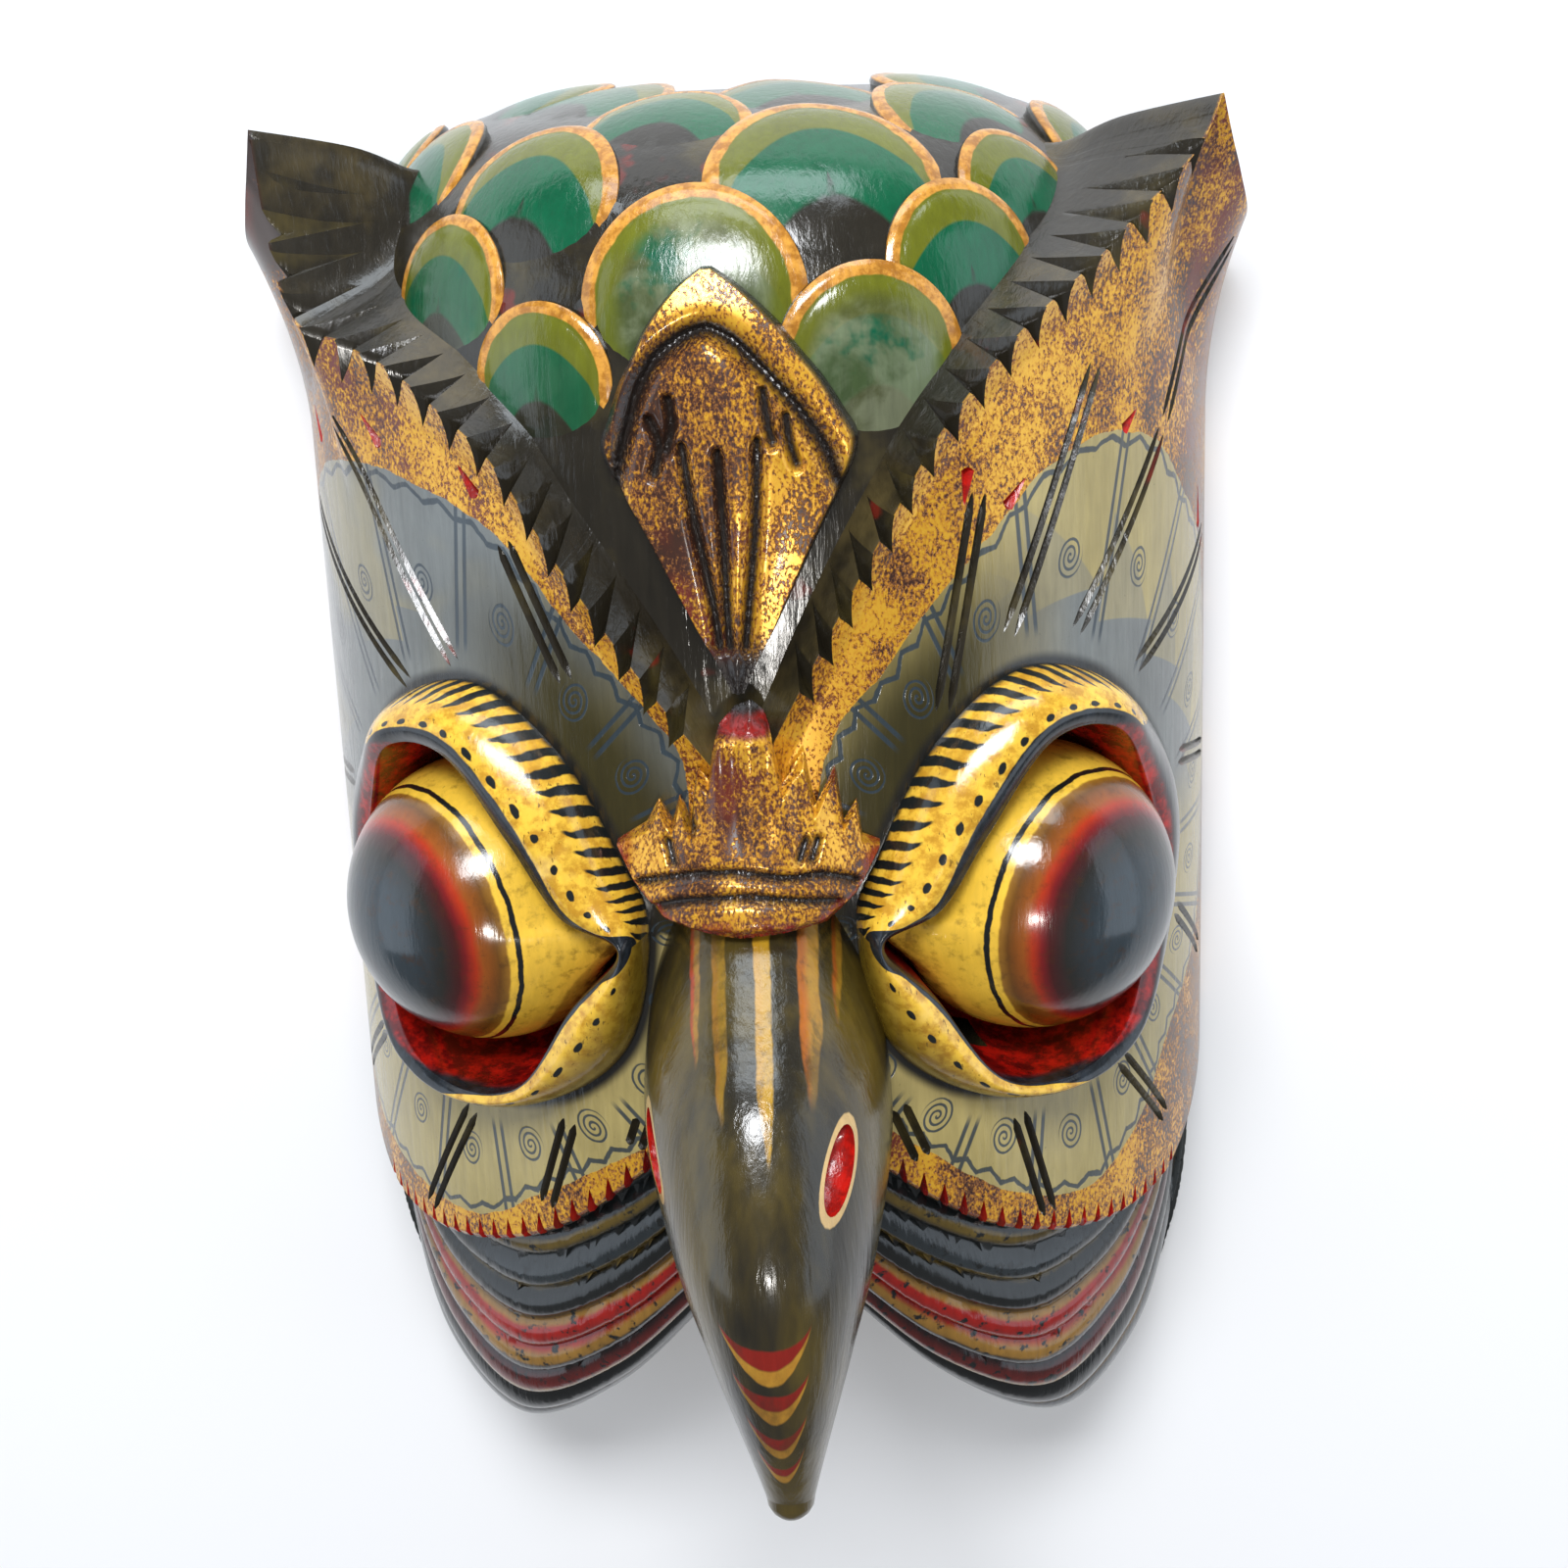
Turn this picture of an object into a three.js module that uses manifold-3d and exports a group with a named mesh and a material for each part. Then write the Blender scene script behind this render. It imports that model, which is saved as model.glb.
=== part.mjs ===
import * as THREE from "three";
import { mergeVertices } from "three/addons/utils/BufferGeometryUtils.js";
import Module from "manifold-3d";

// Carved wooden owl mask, lying on its back rim with the face up (+Z) and the forehead to +Y.
// The whole mask is one piece of wood. Millimetres.
const LOG_RADIUS = 80; // the half log that the mask is carved from
const LENGTH = 247; // crown of the head to the lowest lobe
const PLATE_STEP = 4; // face plate above the head under it
const WALL = 9; // wood left by the hollow in the head
const HOLLOW_TOP_WOOD = 12; // wood left above the hollow at the crown
const HOLLOW_CHIN_Y = -94; // where the hollow ends above the chin
const CHEEK_END_Y = -50; // where the head gives way to the lobes
const HEAD_POWER = 4.4; // squareness of the head's outline
const HOLLOW_POWER = 3.4; // the same for the hollow
const EAR_FLARE = 8.5; // how far the ear tips stand out of the log's round
const CREST_RISE = 2.5; // crest of the brow band above the plate
const CREST_TEETH = 15; // chip-cut teeth on each brow
const TOOTH_DEPTH = 3.4;
const DISC_TOOTH_DEPTH = 3;
const SCALE_STEP = 1.8; // height of a head scale's raised end
const SCALE_BODY = 1.8; // length of a scale's body, in radii of its round end
const EYE_RADIUS = 24.5;
const EYE_TURN = 35; // degrees that each eye looks outwards
const LID_RISE = 9.5; // lid above the plate
const TROUGH_DEPTH = 9; // red trough below the plate
const SLIT_WIDTH = 3; // sight slit beside each eyeball
const SLIT_GAP = 0.8; // between the eyeball and the slit
const SLIT_ARC = [196, 248]; // degrees round the eyeball
const EYE_BACKING = 16; // wood behind each eye, standing into the hollow
const BEAK_REACH = 42; // ridge of the beak above the plate
const BEAK_LEAN = 4; // beak tip leans to +X
const NOSTRIL_LENGTH = 17;
const NOSTRIL_WIDTH = 7.2;
const NOSTRIL_DEPTH = 3;
const LEAF_RISE = 5;
const CROWN_WIDTH = 42;
const CROWN_RISE = 6;
const CROWN_ROUND = 11; // how far its sides fall back
const GROOVE_DEPTH = 1.6;
const LOBE_POWER = 2.3; // roundness of the lobes' lower edge
const LOBE_EDGE = 9; // lowest part of the lobes' front
const LOBE_RIDGES = 6;
const RIDGE_DEPTH = 2.6;
const ROOT_DEPTH = 14; // how deep crown and leaf run into the head
const BELOW_RIM = 20; // waste below the rim plane, sawn off last

// The outlines below are drawn for this length and radius
const DRAWN_LENGTH = 247;
const DRAWN_RADIUS = 80;
const along = (y) => (y * LENGTH) / DRAWN_LENGTH;
const across = (x) => (x * LOG_RADIUS) / DRAWN_RADIUS;
const HEAD_RADIUS = LOG_RADIUS - PLATE_STEP;
const HOLLOW_RADIUS = HEAD_RADIUS - WALL;
const HEAD_TOP = along(110);
const HEAD_MIDDLE = along(-10);

const wasm = await Module();
wasm.setup();

// Outlines on the log's round: degrees from the middle of the face and height along it
const CREST = {
  left: [
    [0, 5], [9.7, 23.3], [20, 43.9], [27, 58.7], [33.3, 65.8], [41.5, 72.4], [50.5, 75.7], [58, 81],
    [62.5, 110],
  ],
  right: [[0, 6], [7.5, 26], [16.6, 48.3], [24, 64], [34.2, 77.6], [48.4, 89.3], [57.5, 100], [62.5, 109]],
};
const BAND_INNER = {
  left: [
    [0, 20], [3.3, 26], [9.6, 46.4], [17.8, 63.2], [31.9, 76.3], [44, 83], [62, 97], [79, 99], [90, 97],
  ],
  right: [
    [0, 20], [3, 33.4], [11.4, 57.3], [22, 72.5], [28.3, 77.5], [41.2, 89], [62, 98], [79, 99], [90, 97],
  ],
};
const EAR_BACK = [[62.5, 109.5], [67, 99], [75, 88], [90, 77]];
const DISC_LOW = [
  [0, -46], [12, -58.6], [21.4, -69.5], [31, -77.6], [44, -83], [57, -84], [68, -80], [90, -64],
];
// Eye outlines, both starting at the inner corner and going over the top
const LID_OUTER = [
  [12, -17], [14.9, -5.5], [21.5, 11], [32, 21.7], [43, 19.6], [53, 9.5],
  [61, -5], [62, -20], [56.5, -36], [43, -50], [27, -49.5], [15.5, -38],
];
const LID_INNER = [
  [14, -18], [20.5, -13], [26, -1.5], [33.5, 11.5], [42, 11.5], [49, 1.5],
  [53, -10], [53, -22], [48.5, -35], [39, -46], [27.5, -44.5], [20, -29],
];
const EYE = { angle: 38, y: -17.5, depth: 6.3 };
// Head scales: degrees from the middle, run up the head to the round end, radius
const SCALES = [
  [-24.5, 93, 12.5], [17.8, 98, 15.5], [-4.5, 112, 18], [-42, 106, 13], [32.6, 110, 14],
  [-31.4, 126, 16], [15.1, 133, 19.5], [47, 119, 13], [-63, 126, 14], [50, 142, 15], [-14, 146, 14],
  [20, 162, 15], [-50, 158, 15],
];

const deg = THREE.MathUtils.degToRad;
const lerp = THREE.MathUtils.lerp;
const smoothstep = THREE.MathUtils.smoothstep;
const spline = (pairs) => new THREE.SplineCurve(pairs.map(([a, b]) => new THREE.Vector2(a, b)));

// Height of an outline over a given angle or width
function outline(pairs, samples = 96) {
  const points = spline(pairs).getPoints(samples);
  return (x) => {
    const next = Math.max(1, points.findIndex((p) => p.x >= x));
    const a = points[next - 1];
    const b = points[next];
    const share = THREE.MathUtils.clamp((x - a.x) / (b.x - a.x), 0, 1);
    return x > points[points.length - 1].x ? points[points.length - 1].y : lerp(a.y, b.y, share);
  };
}

const onLog = (degrees, y, radius) =>
  new THREE.Vector3(radius * Math.sin(deg(degrees)), y, radius * Math.cos(deg(degrees)));

// Triangles that close a flat ring of points
function cap(ring) {
  const normal = new THREE.Vector3();
  ring.forEach((p, i) => normal.add(new THREE.Vector3().crossVectors(p, ring[(i + 1) % ring.length])));
  const side = new THREE.Vector3().subVectors(ring[0], ring[Math.floor(ring.length / 2)]).normalize();
  const over = new THREE.Vector3().crossVectors(normal.normalize(), side);
  const flat = ring.map((p) => new THREE.Vector2(p.dot(side), p.dot(over)));
  return THREE.ShapeUtils.triangulateShape(flat, []);
}

// Closed body through a row of rings that all have the same number of points
function loft(rings) {
  const count = rings[0].length;
  const index = [];
  for (let r = 0; r + 1 < rings.length; r += 1) {
    for (let i = 0; i < count; i += 1) {
      const a = r * count + i;
      const b = r * count + ((i + 1) % count);
      index.push(a, b, b + count, a, b + count, a + count);
    }
  }
  const last = (rings.length - 1) * count;
  cap(rings[0]).forEach(([a, b, c]) => index.push(a, c, b));
  cap(rings[rings.length - 1]).forEach(([a, b, c]) => index.push(last + a, last + b, last + c));
  return bodyOf(rings.flat(), index);
}

// Body through rings that start and end in a point
function spindle(start, rings, end) {
  const count = rings[0].length;
  const points = [start, ...rings.flat(), end];
  const index = [];
  for (let i = 0; i < count; i += 1) {
    const next = (i + 1) % count;
    index.push(0, 1 + next, 1 + i);
    for (let r = 0; r + 1 < rings.length; r += 1) {
      const a = 1 + r * count + i;
      const b = 1 + r * count + next;
      index.push(a, b, b + count, a, b + count, a + count);
    }
    const last = 1 + (rings.length - 1) * count;
    index.push(last + i, last + next, points.length - 1);
  }
  return bodyOf(points, index);
}

function bodyOf(points, index) {
  const geometry = new THREE.BufferGeometry().setFromPoints(points);
  geometry.setIndex(index);
  return solid(geometry);
}

function solid(geometry) {
  const bare = geometry.index ? geometry.clone() : geometry;
  bare.deleteAttribute("normal");
  bare.deleteAttribute("uv");
  const merged = mergeVertices(bare, 1e-4);
  const place = merged.attributes.position;
  const corner = (i) => new THREE.Vector3().fromBufferAttribute(place, i);
  const faces = [];
  let volume = 0;
  for (let i = 0; i < merged.index.count; i += 3) {
    const [a, b, c] = [0, 1, 2].map((k) => merged.index.getX(i + k));
    if (a === b || b === c || c === a) continue;
    faces.push([a, b, c]);
    volume += corner(a).dot(corner(b).cross(corner(c)));
  }
  const triVerts = new Uint32Array(faces.flatMap(([a, b, c]) => (volume > 0 ? [a, b, c] : [a, c, b])));
  const vertProperties = new Float32Array(place.array);
  return new wasm.Manifold(new wasm.Mesh({ numProp: 3, vertProperties, triVerts }));
}

const union = (solids) => solids.reduce((sum, each) => sum.add(each));

// Squared half barrel round the Y axis, running on below the rim plane
function barrel(radius, low, high, power, facets) {
  const middle = (low + high) / 2;
  const half = (high - low) / 2;
  const rings = [];
  for (let i = 1; i < facets; i += 1) {
    const turn = (Math.PI * i) / facets;
    const r = radius * Math.sin(turn) ** (2 / power);
    const y = middle - half * Math.sign(Math.cos(turn)) * Math.abs(Math.cos(turn)) ** (2 / power);
    const front = Array.from({ length: facets + 1 }, (_, k) => onLog(lerp(-90, 90, k / facets), y, r));
    const back = [front[facets], front[0]].map((p) => p.clone().setZ(-BELOW_RIM));
    rings.push([...front, ...back]);
  }
  return spindle(new THREE.Vector3(0, low, 0), rings, new THREE.Vector3(0, high, 0));
}

function headRadius(y) {
  const share = Math.abs((y - HEAD_MIDDLE) / (HEAD_TOP - HEAD_MIDDLE));
  return HEAD_RADIUS * Math.max(0, 1 - share ** HEAD_POWER) ** (1 / HEAD_POWER);
}

// The head's outline from its widest place to the crown, measured along the wood
const MERIDIAN = Array.from({ length: 241 }, (_, i) => {
  const turn = (Math.PI / 2) * (1 + i / 240);
  const out = Math.sin(turn) ** (2 / HEAD_POWER);
  const up = Math.abs(Math.cos(turn)) ** (2 / HEAD_POWER);
  return new THREE.Vector2(HEAD_RADIUS * out, HEAD_MIDDLE + (HEAD_TOP - HEAD_MIDDLE) * up);
});
MERIDIAN.forEach((p, i) => {
  p.run = i ? MERIDIAN[i - 1].run + p.distanceTo(MERIDIAN[i - 1]) : 0;
});

// Point on the head: run up from its widest place, turn from the middle, height above the wood
function onHead(run, turn, height) {
  const next = Math.max(1, MERIDIAN.findIndex((p) => p.run >= run));
  const [a, b] = [MERIDIAN[next - 1], MERIDIAN[next]];
  const share = (run - a.run) / (b.run - a.run);
  const normal = new THREE.Vector2(b.y - a.y, a.x - b.x).normalize();
  return onLog(turn, lerp(a.y, b.y, share) + normal.y * height, lerp(a.x, b.x, share) + normal.x * height);
}

// Overlapping scales, round end to the crown and the lower ones on top
function scales() {
  const profile = [[0.86, 0.3], [1, -1.2], [0.9, -6]];
  const around = 12;
  return union(SCALES.map(([turn, top, radius]) => {
    const run = top - radius;
    const girth = Math.max(24, onHead(run, 0, 0).z);
    const at = (share, angle, height) => {
      const rise = radius * share * Math.sin(angle) * (Math.sin(angle) < 0 ? SCALE_BODY : 1);
      const aside = THREE.MathUtils.radToDeg((radius * share * Math.cos(angle)) / girth);
      return onHead(run + rise, turn + aside, height + (SCALE_STEP * rise) / radius);
    };
    const rings = profile.map(([share, height]) =>
      Array.from({ length: around }, (_, i) => at(share, (2 * Math.PI * i) / around, height)));
    return spindle(at(0, 0, 1.3), rings, at(0, 0, -7));
  }));
}

// Face plate with the brow crest, the ears and the toothed lower edge
function plate() {
  const sides = {
    left: { crest: outline(CREST.left), band: outline(BAND_INNER.left) },
    right: { crest: outline(CREST.right), band: outline(BAND_INNER.right) },
  };
  const back = outline(EAR_BACK);
  const low = outline(DISC_LOW);
  const tip = EAR_BACK[0][0];
  const start = 6;
  const pitch = (tip - start) / CREST_TEETH;
  const columns = [[0, 0], [3, 0]];
  for (let k = 0; k < CREST_TEETH; k += 1) {
    columns.push([start + k * pitch, 0], [start + (k + 0.68) * pitch, 1]);
  }
  columns.push([tip, 0], [66, 1], [69, 0], [73, 1], [77, 0], [83, 0], [90, 0]);
  const ring = (angle, notch, side) => {
    const { crest, band } = sides[side];
    const past = angle > tip;
    const crestY = along(past ? back(angle) : crest(angle));
    const top = crestY - (past ? 0 : notch * TOOTH_DEPTH);
    const bottom = along(low(angle)) + (angle > 8 ? notch * DISC_TOOTH_DEPTH : 0);
    const ear = smoothstep(angle, 44, tip) * (1 - smoothstep(angle, 70, 96));
    const rise = Math.max(CREST_RISE, EAR_FLARE * ear);
    const inner = along(band(angle));
    const root = headRadius(Math.min(inner, HEAD_TOP - 8)) - 4;
    const at = (y, r) => onLog(side === "left" ? -angle : angle, y, r);
    return [
      at(bottom + 9, LOG_RADIUS - WALL - 5), at(bottom + 2, LOG_RADIUS - 7), at(bottom, LOG_RADIUS - 2.5),
      at(bottom + 1.6, LOG_RADIUS), at(along(low(angle)) + 9, LOG_RADIUS - 0.6),
      at(crestY - 30, LOG_RADIUS), at(crestY - 8, LOG_RADIUS + EAR_FLARE * ear * 0.6),
      at(top, LOG_RADIUS + rise),
      at(lerp(crestY, inner, 0.34), lerp(LOG_RADIUS + rise, root, 0.55)),
      at(lerp(crestY, inner, 0.7), lerp(LOG_RADIUS, root, 0.8)), at(inner + 3, root),
      at(inner - 4, root - 5),
    ];
  };
  const left = columns.slice(1).reverse().map(([angle, notch]) => ring(angle, notch, "left"));
  const right = columns.map(([angle, notch]) => ring(angle, notch, "right"));
  return loft([...left, ...right]);
}

// Eye: raised lid, trough and eyeball as one plug through the plate
function eyePlug(sign) {
  const around = 24;
  const closed = (pairs) => {
    const points = pairs.map(([a, y]) => new THREE.Vector3(a, along(y), 0));
    return new THREE.CatmullRomCurve3(points, true, "catmullrom");
  };
  const outer = closed(LID_OUTER);
  const inner = closed(LID_INNER);
  const centre = onLog(EYE.angle, along(EYE.y), LOG_RADIUS - EYE.depth);
  const ahead = new THREE.Vector3(Math.sin(deg(EYE_TURN)), 0, Math.cos(deg(EYE_TURN)));
  const aside = new THREE.Vector3(Math.cos(deg(EYE_TURN)), 0, -Math.sin(deg(EYE_TURN)));
  const up = new THREE.Vector3(0, 1, 0);
  const flat = (p) => new THREE.Vector2(p.clone().sub(centre).dot(aside), p.clone().sub(centre).dot(up));
  const lidPoint = (k, share, radius) => {
    const a = outer.getPoint(k / around);
    const b = inner.getPoint(k / around);
    return onLog(lerp(a.x, b.x, share), lerp(a.y, b.y, share), radius);
  };
  const lidRise = (k) => {
    const outwards = smoothstep(inner.getPoint(k / around).x, 42, 53);
    return LID_RISE * (1 - 0.5 * outwards);
  };
  const ballPoint = (k, polar) => {
    const line = flat(lidPoint(k, 1, LOG_RADIUS));
    const turn = Math.atan2(line.y, line.x);
    const out = EYE_RADIUS * Math.sin(deg(polar));
    const round = centre.clone()
      .addScaledVector(aside, out * Math.cos(turn))
      .addScaledVector(up, out * Math.sin(turn))
      .addScaledVector(ahead, EYE_RADIUS * Math.cos(deg(polar)));
    const skirt = Math.max(0, -Math.cos(turn)) ** 6 * smoothstep(polar, 40, 95);
    return round.lerp(lidPoint(k, 1.08, LOG_RADIUS + 1), 0.8 * skirt);
  };
  const floor = (k, share, depth) => lidPoint(k, 1.04, LOG_RADIUS - depth).lerp(ballPoint(k, 118), share);
  const ring = (make) => Array.from({ length: around }, (_, k) => make(k));
  const rings = [
    ring((k) => lidPoint(k, 0.6, HOLLOW_RADIUS - EYE_BACKING / 3)),
    ring((k) => lidPoint(k, 0.05, (HOLLOW_RADIUS + LOG_RADIUS) / 2)),
    ring((k) => lidPoint(k, 0, LOG_RADIUS)),
    ring((k) => lidPoint(k, 0.2, LOG_RADIUS + lidRise(k) * 0.62)),
    ring((k) => lidPoint(k, 0.6, LOG_RADIUS + lidRise(k))),
    ring((k) => lidPoint(k, 0.92, LOG_RADIUS + lidRise(k) * 0.92)),
    ring((k) => lidPoint(k, 1, LOG_RADIUS + lidRise(k) * 0.72)),
    ring((k) => floor(k, 0.04, 2)),
    ring((k) => floor(k, 0.35, TROUGH_DEPTH)),
    ring((k) => floor(k, 0.85, TROUGH_DEPTH)),
    ...[92, 72, 54, 36, 18].map((polar) => ring((k) => ballPoint(k, polar))),
  ];
  const back = onLog(EYE.angle, along(EYE.y), HOLLOW_RADIUS - EYE_BACKING);
  const front = centre.clone().addScaledVector(ahead, EYE_RADIUS);
  const turned = (p) => p.set(p.x * sign, p.y, p.z);
  const plug = spindle(turned(back), rings.map((r) => r.map(turned)), turned(front));
  const socketRing = (radius) => ring((k) => turned(lidPoint(k, 0.3, radius)));
  const socket = spindle(
    turned(onLog(EYE.angle, along(EYE.y), HOLLOW_RADIUS / 2)),
    [socketRing(HOLLOW_RADIUS / 2 + 6), socketRing(LOG_RADIUS + LID_RISE)],
    turned(onLog(EYE.angle, along(EYE.y), LOG_RADIUS + 2 * LID_RISE)),
  );
  return { plug, socket, slit: slit(sign, centre, ahead, aside, up) };
}

// Crescent sight slit, below and inside the eyeball
function slit(sign, centre, ahead, aside, up) {
  const shape = new THREE.Shape();
  const inside = EYE_RADIUS + SLIT_GAP;
  const [from, to] = SLIT_ARC.map(deg);
  shape.absarc(0, 0, inside + SLIT_WIDTH, from, to, false);
  shape.absarc(0, 0, inside, to, from, true);
  const depth = LOG_RADIUS;
  const bar = new THREE.ExtrudeGeometry(shape, { depth, bevelEnabled: false, curveSegments: 6 });
  const start = centre.clone().addScaledVector(ahead, -0.85 * depth);
  const place = new THREE.Matrix4().makeBasis(aside, up, ahead).setPosition(start);
  bar.applyMatrix4(place);
  if (sign < 0) bar.applyMatrix4(new THREE.Matrix4().makeScale(-1, 1, 1));
  return solid(bar);
}

// Beak: ridge height, underside height and half width from root to tip
const BEAK_SECTIONS = [
  [-4, 0.02, -40, -0.9, 16], [-13, 0.22, -50, -0.72, 18.5], [-26, 0.55, -58, -0.5, 20],
  [-37, 0.8, -66, -0.3, 19.4], [-56, 1, -76, -0.06, 15.8], [-73, 1, -84, 0.18, 11.6],
  [-86, 0.93, -92, 0.35, 8.2], [-97, 0.82, -100, 0.48, 5.4], [-104, 0.72, -105, 0.58, 3.2],
];
const BEAK_TIP = [-108, 0.66];
const NOSTRIL = { lean: 1, aside: 13, y: -47, rise: 0.62, tilt: 14, turn: 30 };

function beak() {
  const around = 20;
  const place = (y, share, x) => new THREE.Vector3(x, along(y), LOG_RADIUS + BEAK_REACH * share);
  const lean = (y) => BEAK_LEAN * smoothstep(-y, -10, 110);
  const rings = BEAK_SECTIONS.map(([ridgeY, ridge, underY, under, half]) => {
    const top = place(ridgeY, ridge, lean(ridgeY));
    const foot = place(underY, under, lean(underY));
    const middle = top.clone().add(foot).multiplyScalar(0.5);
    const tall = top.clone().sub(middle);
    return Array.from({ length: around }, (_, k) => {
      const turn = (2 * Math.PI * k) / around;
      const point = middle.clone().addScaledVector(tall, Math.cos(turn));
      return point.setX(point.x + across(half) * Math.sin(turn));
    });
  });
  const tip = place(BEAK_TIP[0], BEAK_TIP[1], BEAK_LEAN);
  const first = rings[0];
  const start = first.reduce((sum, p) => sum.add(p), new THREE.Vector3()).multiplyScalar(1 / around);
  return spindle(start, rings, tip);
}

function nostril(sign) {
  const almond = new THREE.SphereGeometry(1, 12, 8);
  almond.scale(NOSTRIL_DEPTH, NOSTRIL_LENGTH / 2, NOSTRIL_WIDTH / 2);
  almond.rotateX(deg(NOSTRIL.tilt));
  almond.rotateY(deg(sign * NOSTRIL.turn));
  const x = across(NOSTRIL.lean + sign * NOSTRIL.aside);
  almond.translate(x, along(NOSTRIL.y), LOG_RADIUS + BEAK_REACH * NOSTRIL.rise);
  return solid(almond);
}

// Crown at the root of the beak: two bands under a fan of pointed leaves
function crown() {
  const half = CROWN_WIDTH / 2;
  const low = outline([[0, -15], [half * 0.57, -13], [half * 0.86, -9], [half, -4]]);
  const high = outline([[0, 19], [half / 3, 14.5], [half * 0.7, 9], [half, 4]]);
  const front = (x, y) => {
    const rootRise = BEAK_REACH * 0.2 * smoothstep(-y, along(-14), along(16));
    return LOG_RADIUS + CROWN_RISE + rootRise - CROWN_ROUND * (x / half) ** 2;
  };
  const rings = [];
  for (let k = -7; k <= 7; k += 1) {
    const x = (half * k) / 7;
    const away = Math.abs(x);
    const bottom = along(low(away));
    const top = along(high(away));
    const leafTop = lerp(bottom, top, k % 2 ? 0.82 : 1);
    const at = (y, sink = 0) => new THREE.Vector3(x, y, front(x, y) - sink);
    const rows = [0.14, 0.2, 0.26, 0.36, 0.42, 0.48].map((share, i) =>
      at(lerp(bottom, top, share), i % 3 === 1 ? GROOVE_DEPTH : 0));
    rings.push([
      new THREE.Vector3(x, lerp(bottom, top, 0.3), LOG_RADIUS - ROOT_DEPTH),
      at(bottom, 4), at(lerp(bottom, top, 0.05)), ...rows, at(lerp(bottom, top, 0.7)), at(leafTop, 2.5),
      new THREE.Vector3(x, lerp(bottom, top, 0.7), LOG_RADIUS - ROOT_DEPTH),
    ]);
  }
  return loft(rings);
}

// Leaf on the forehead: raised arch round a grooved blade
function leaf() {
  const width = outline([
    [23, 3], [32, 6.5], [45, 12.5], [56, 19], [60, 20], [66, 18.5], [75, 12], [82, 6], [87, 1],
  ]);
  const lean = (y) => -4 * smoothstep(y, 20, 87);
  const shares = [-1, -0.93, -0.8, -0.7, -0.5, -0.3, -0.15, 0, 0.15, 0.3, 0.5, 0.7, 0.8, 0.93, 1];
  const rings = [];
  for (const y of [23, 30, 38, 46, 53, 59, 65, 72, 80, 87]) {
    const half = across(width(y));
    const arch = smoothstep(y, 50, 62);
    const base = lerp(LOG_RADIUS, headRadius(along(y)) + LEAF_RISE, smoothstep(y, 24, 60));
    const ring = shares.map((share, i) => {
      const away = Math.abs(share);
      const edge = away > 0.95 ? -3 : 0;
      const border = away > 0.75 ? 0.8 * arch : 0;
      const groove = Math.abs(away - 0.7) < 0.02 ? -GROOVE_DEPTH * arch : 0;
      const vein = i % 2 && away < 0.6 ? -GROOVE_DEPTH * (1 - arch * 0.6) : 0;
      const x = lean(y) + share * half;
      const front = base - (x * x) / (2 * LOG_RADIUS);
      return new THREE.Vector3(x, along(y), front + edge + border + groove + vein);
    });
    rings.push([
      ...ring,
      new THREE.Vector3(lean(y) + half, along(y), base - ROOT_DEPTH),
      new THREE.Vector3(lean(y) - half, along(y), base - ROOT_DEPTH),
    ]);
  }
  return loft(rings);
}

// Chin: two grooved lobes whose ridges run beside the lower outline
function lobe(sign) {
  const stations = 16;
  const curve = (pairs) => spline(pairs.map(([x, y]) => [across(x), along(y)]));
  const low = curve([
    [-6, -84], [14, -107], [32, -126], [52, -137], [67, -126], [74, -108], [77, -90], [77.5, -62],
  ]);
  const high = curve([
    [-6, -42], [9, -50], [22, -60], [38, -70], [50, -74], [60, -75], [67, -69], [70, -56],
  ]);
  const rows = LOBE_RIDGES * 2;
  const rings = [];
  for (let s = 0; s <= stations; s += 1) {
    const a = low.getPoint(s / stations);
    const b = high.getPoint(s / stations);
    const out = a.clone().sub(b).normalize();
    const fade = 1 - smoothstep(s / stations, 0.84, 0.98);
    const ring = [new THREE.Vector3(a.x, a.y, 0)];
    for (let i = 0; i <= rows; i += 1) {
      const turn = (Math.PI / 2) * (i / rows);
      const inward = 1 - Math.cos(turn) ** (2 / LOBE_POWER);
      const x = lerp(a.x, b.x, inward);
      const tall = Math.sqrt(Math.max(0, HEAD_RADIUS ** 2 - x ** 2));
      const z = Math.max(LOBE_EDGE + 6 * inward, tall * lerp(0.3, 1, Math.sin(turn) ** (2 / LOBE_POWER)));
      const sink = i % 2 || i === 0 ? 0 : -RIDGE_DEPTH * fade;
      const aside = sink * Math.cos(turn);
      const y = lerp(a.y, b.y, inward);
      ring.push(new THREE.Vector3(x + out.x * aside, y + out.y * aside, z + sink * Math.sin(turn)));
    }
    ring.push(new THREE.Vector3(b.x, b.y, 0));
    rings.push(ring.map((p) => p.setX(p.x * sign)));
  }
  return loft(rings);
}

const wood = new THREE.MeshStandardMaterial({ color: 0xa8791f, roughness: 0.25, metalness: 0 });

function meshOf(name, body, material) {
  const { vertProperties, triVerts } = body.getMesh();
  const geometry = new THREE.BufferGeometry();
  geometry.setAttribute("position", new THREE.BufferAttribute(new Float32Array(vertProperties), 3));
  geometry.setIndex(new THREE.BufferAttribute(new Uint32Array(triVerts), 1));
  const mesh = new THREE.Mesh(geometry, material);
  mesh.name = name;
  return mesh;
}

// Block that takes away everything on one side of a plane
function waste(x, y, z) {
  const size = 3 * LENGTH;
  const middle = ([side, start]) => (side * size) / 2 + start;
  return solid(new THREE.BoxGeometry(size, size, size).translate(middle(x), middle(y), middle(z)));
}

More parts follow.
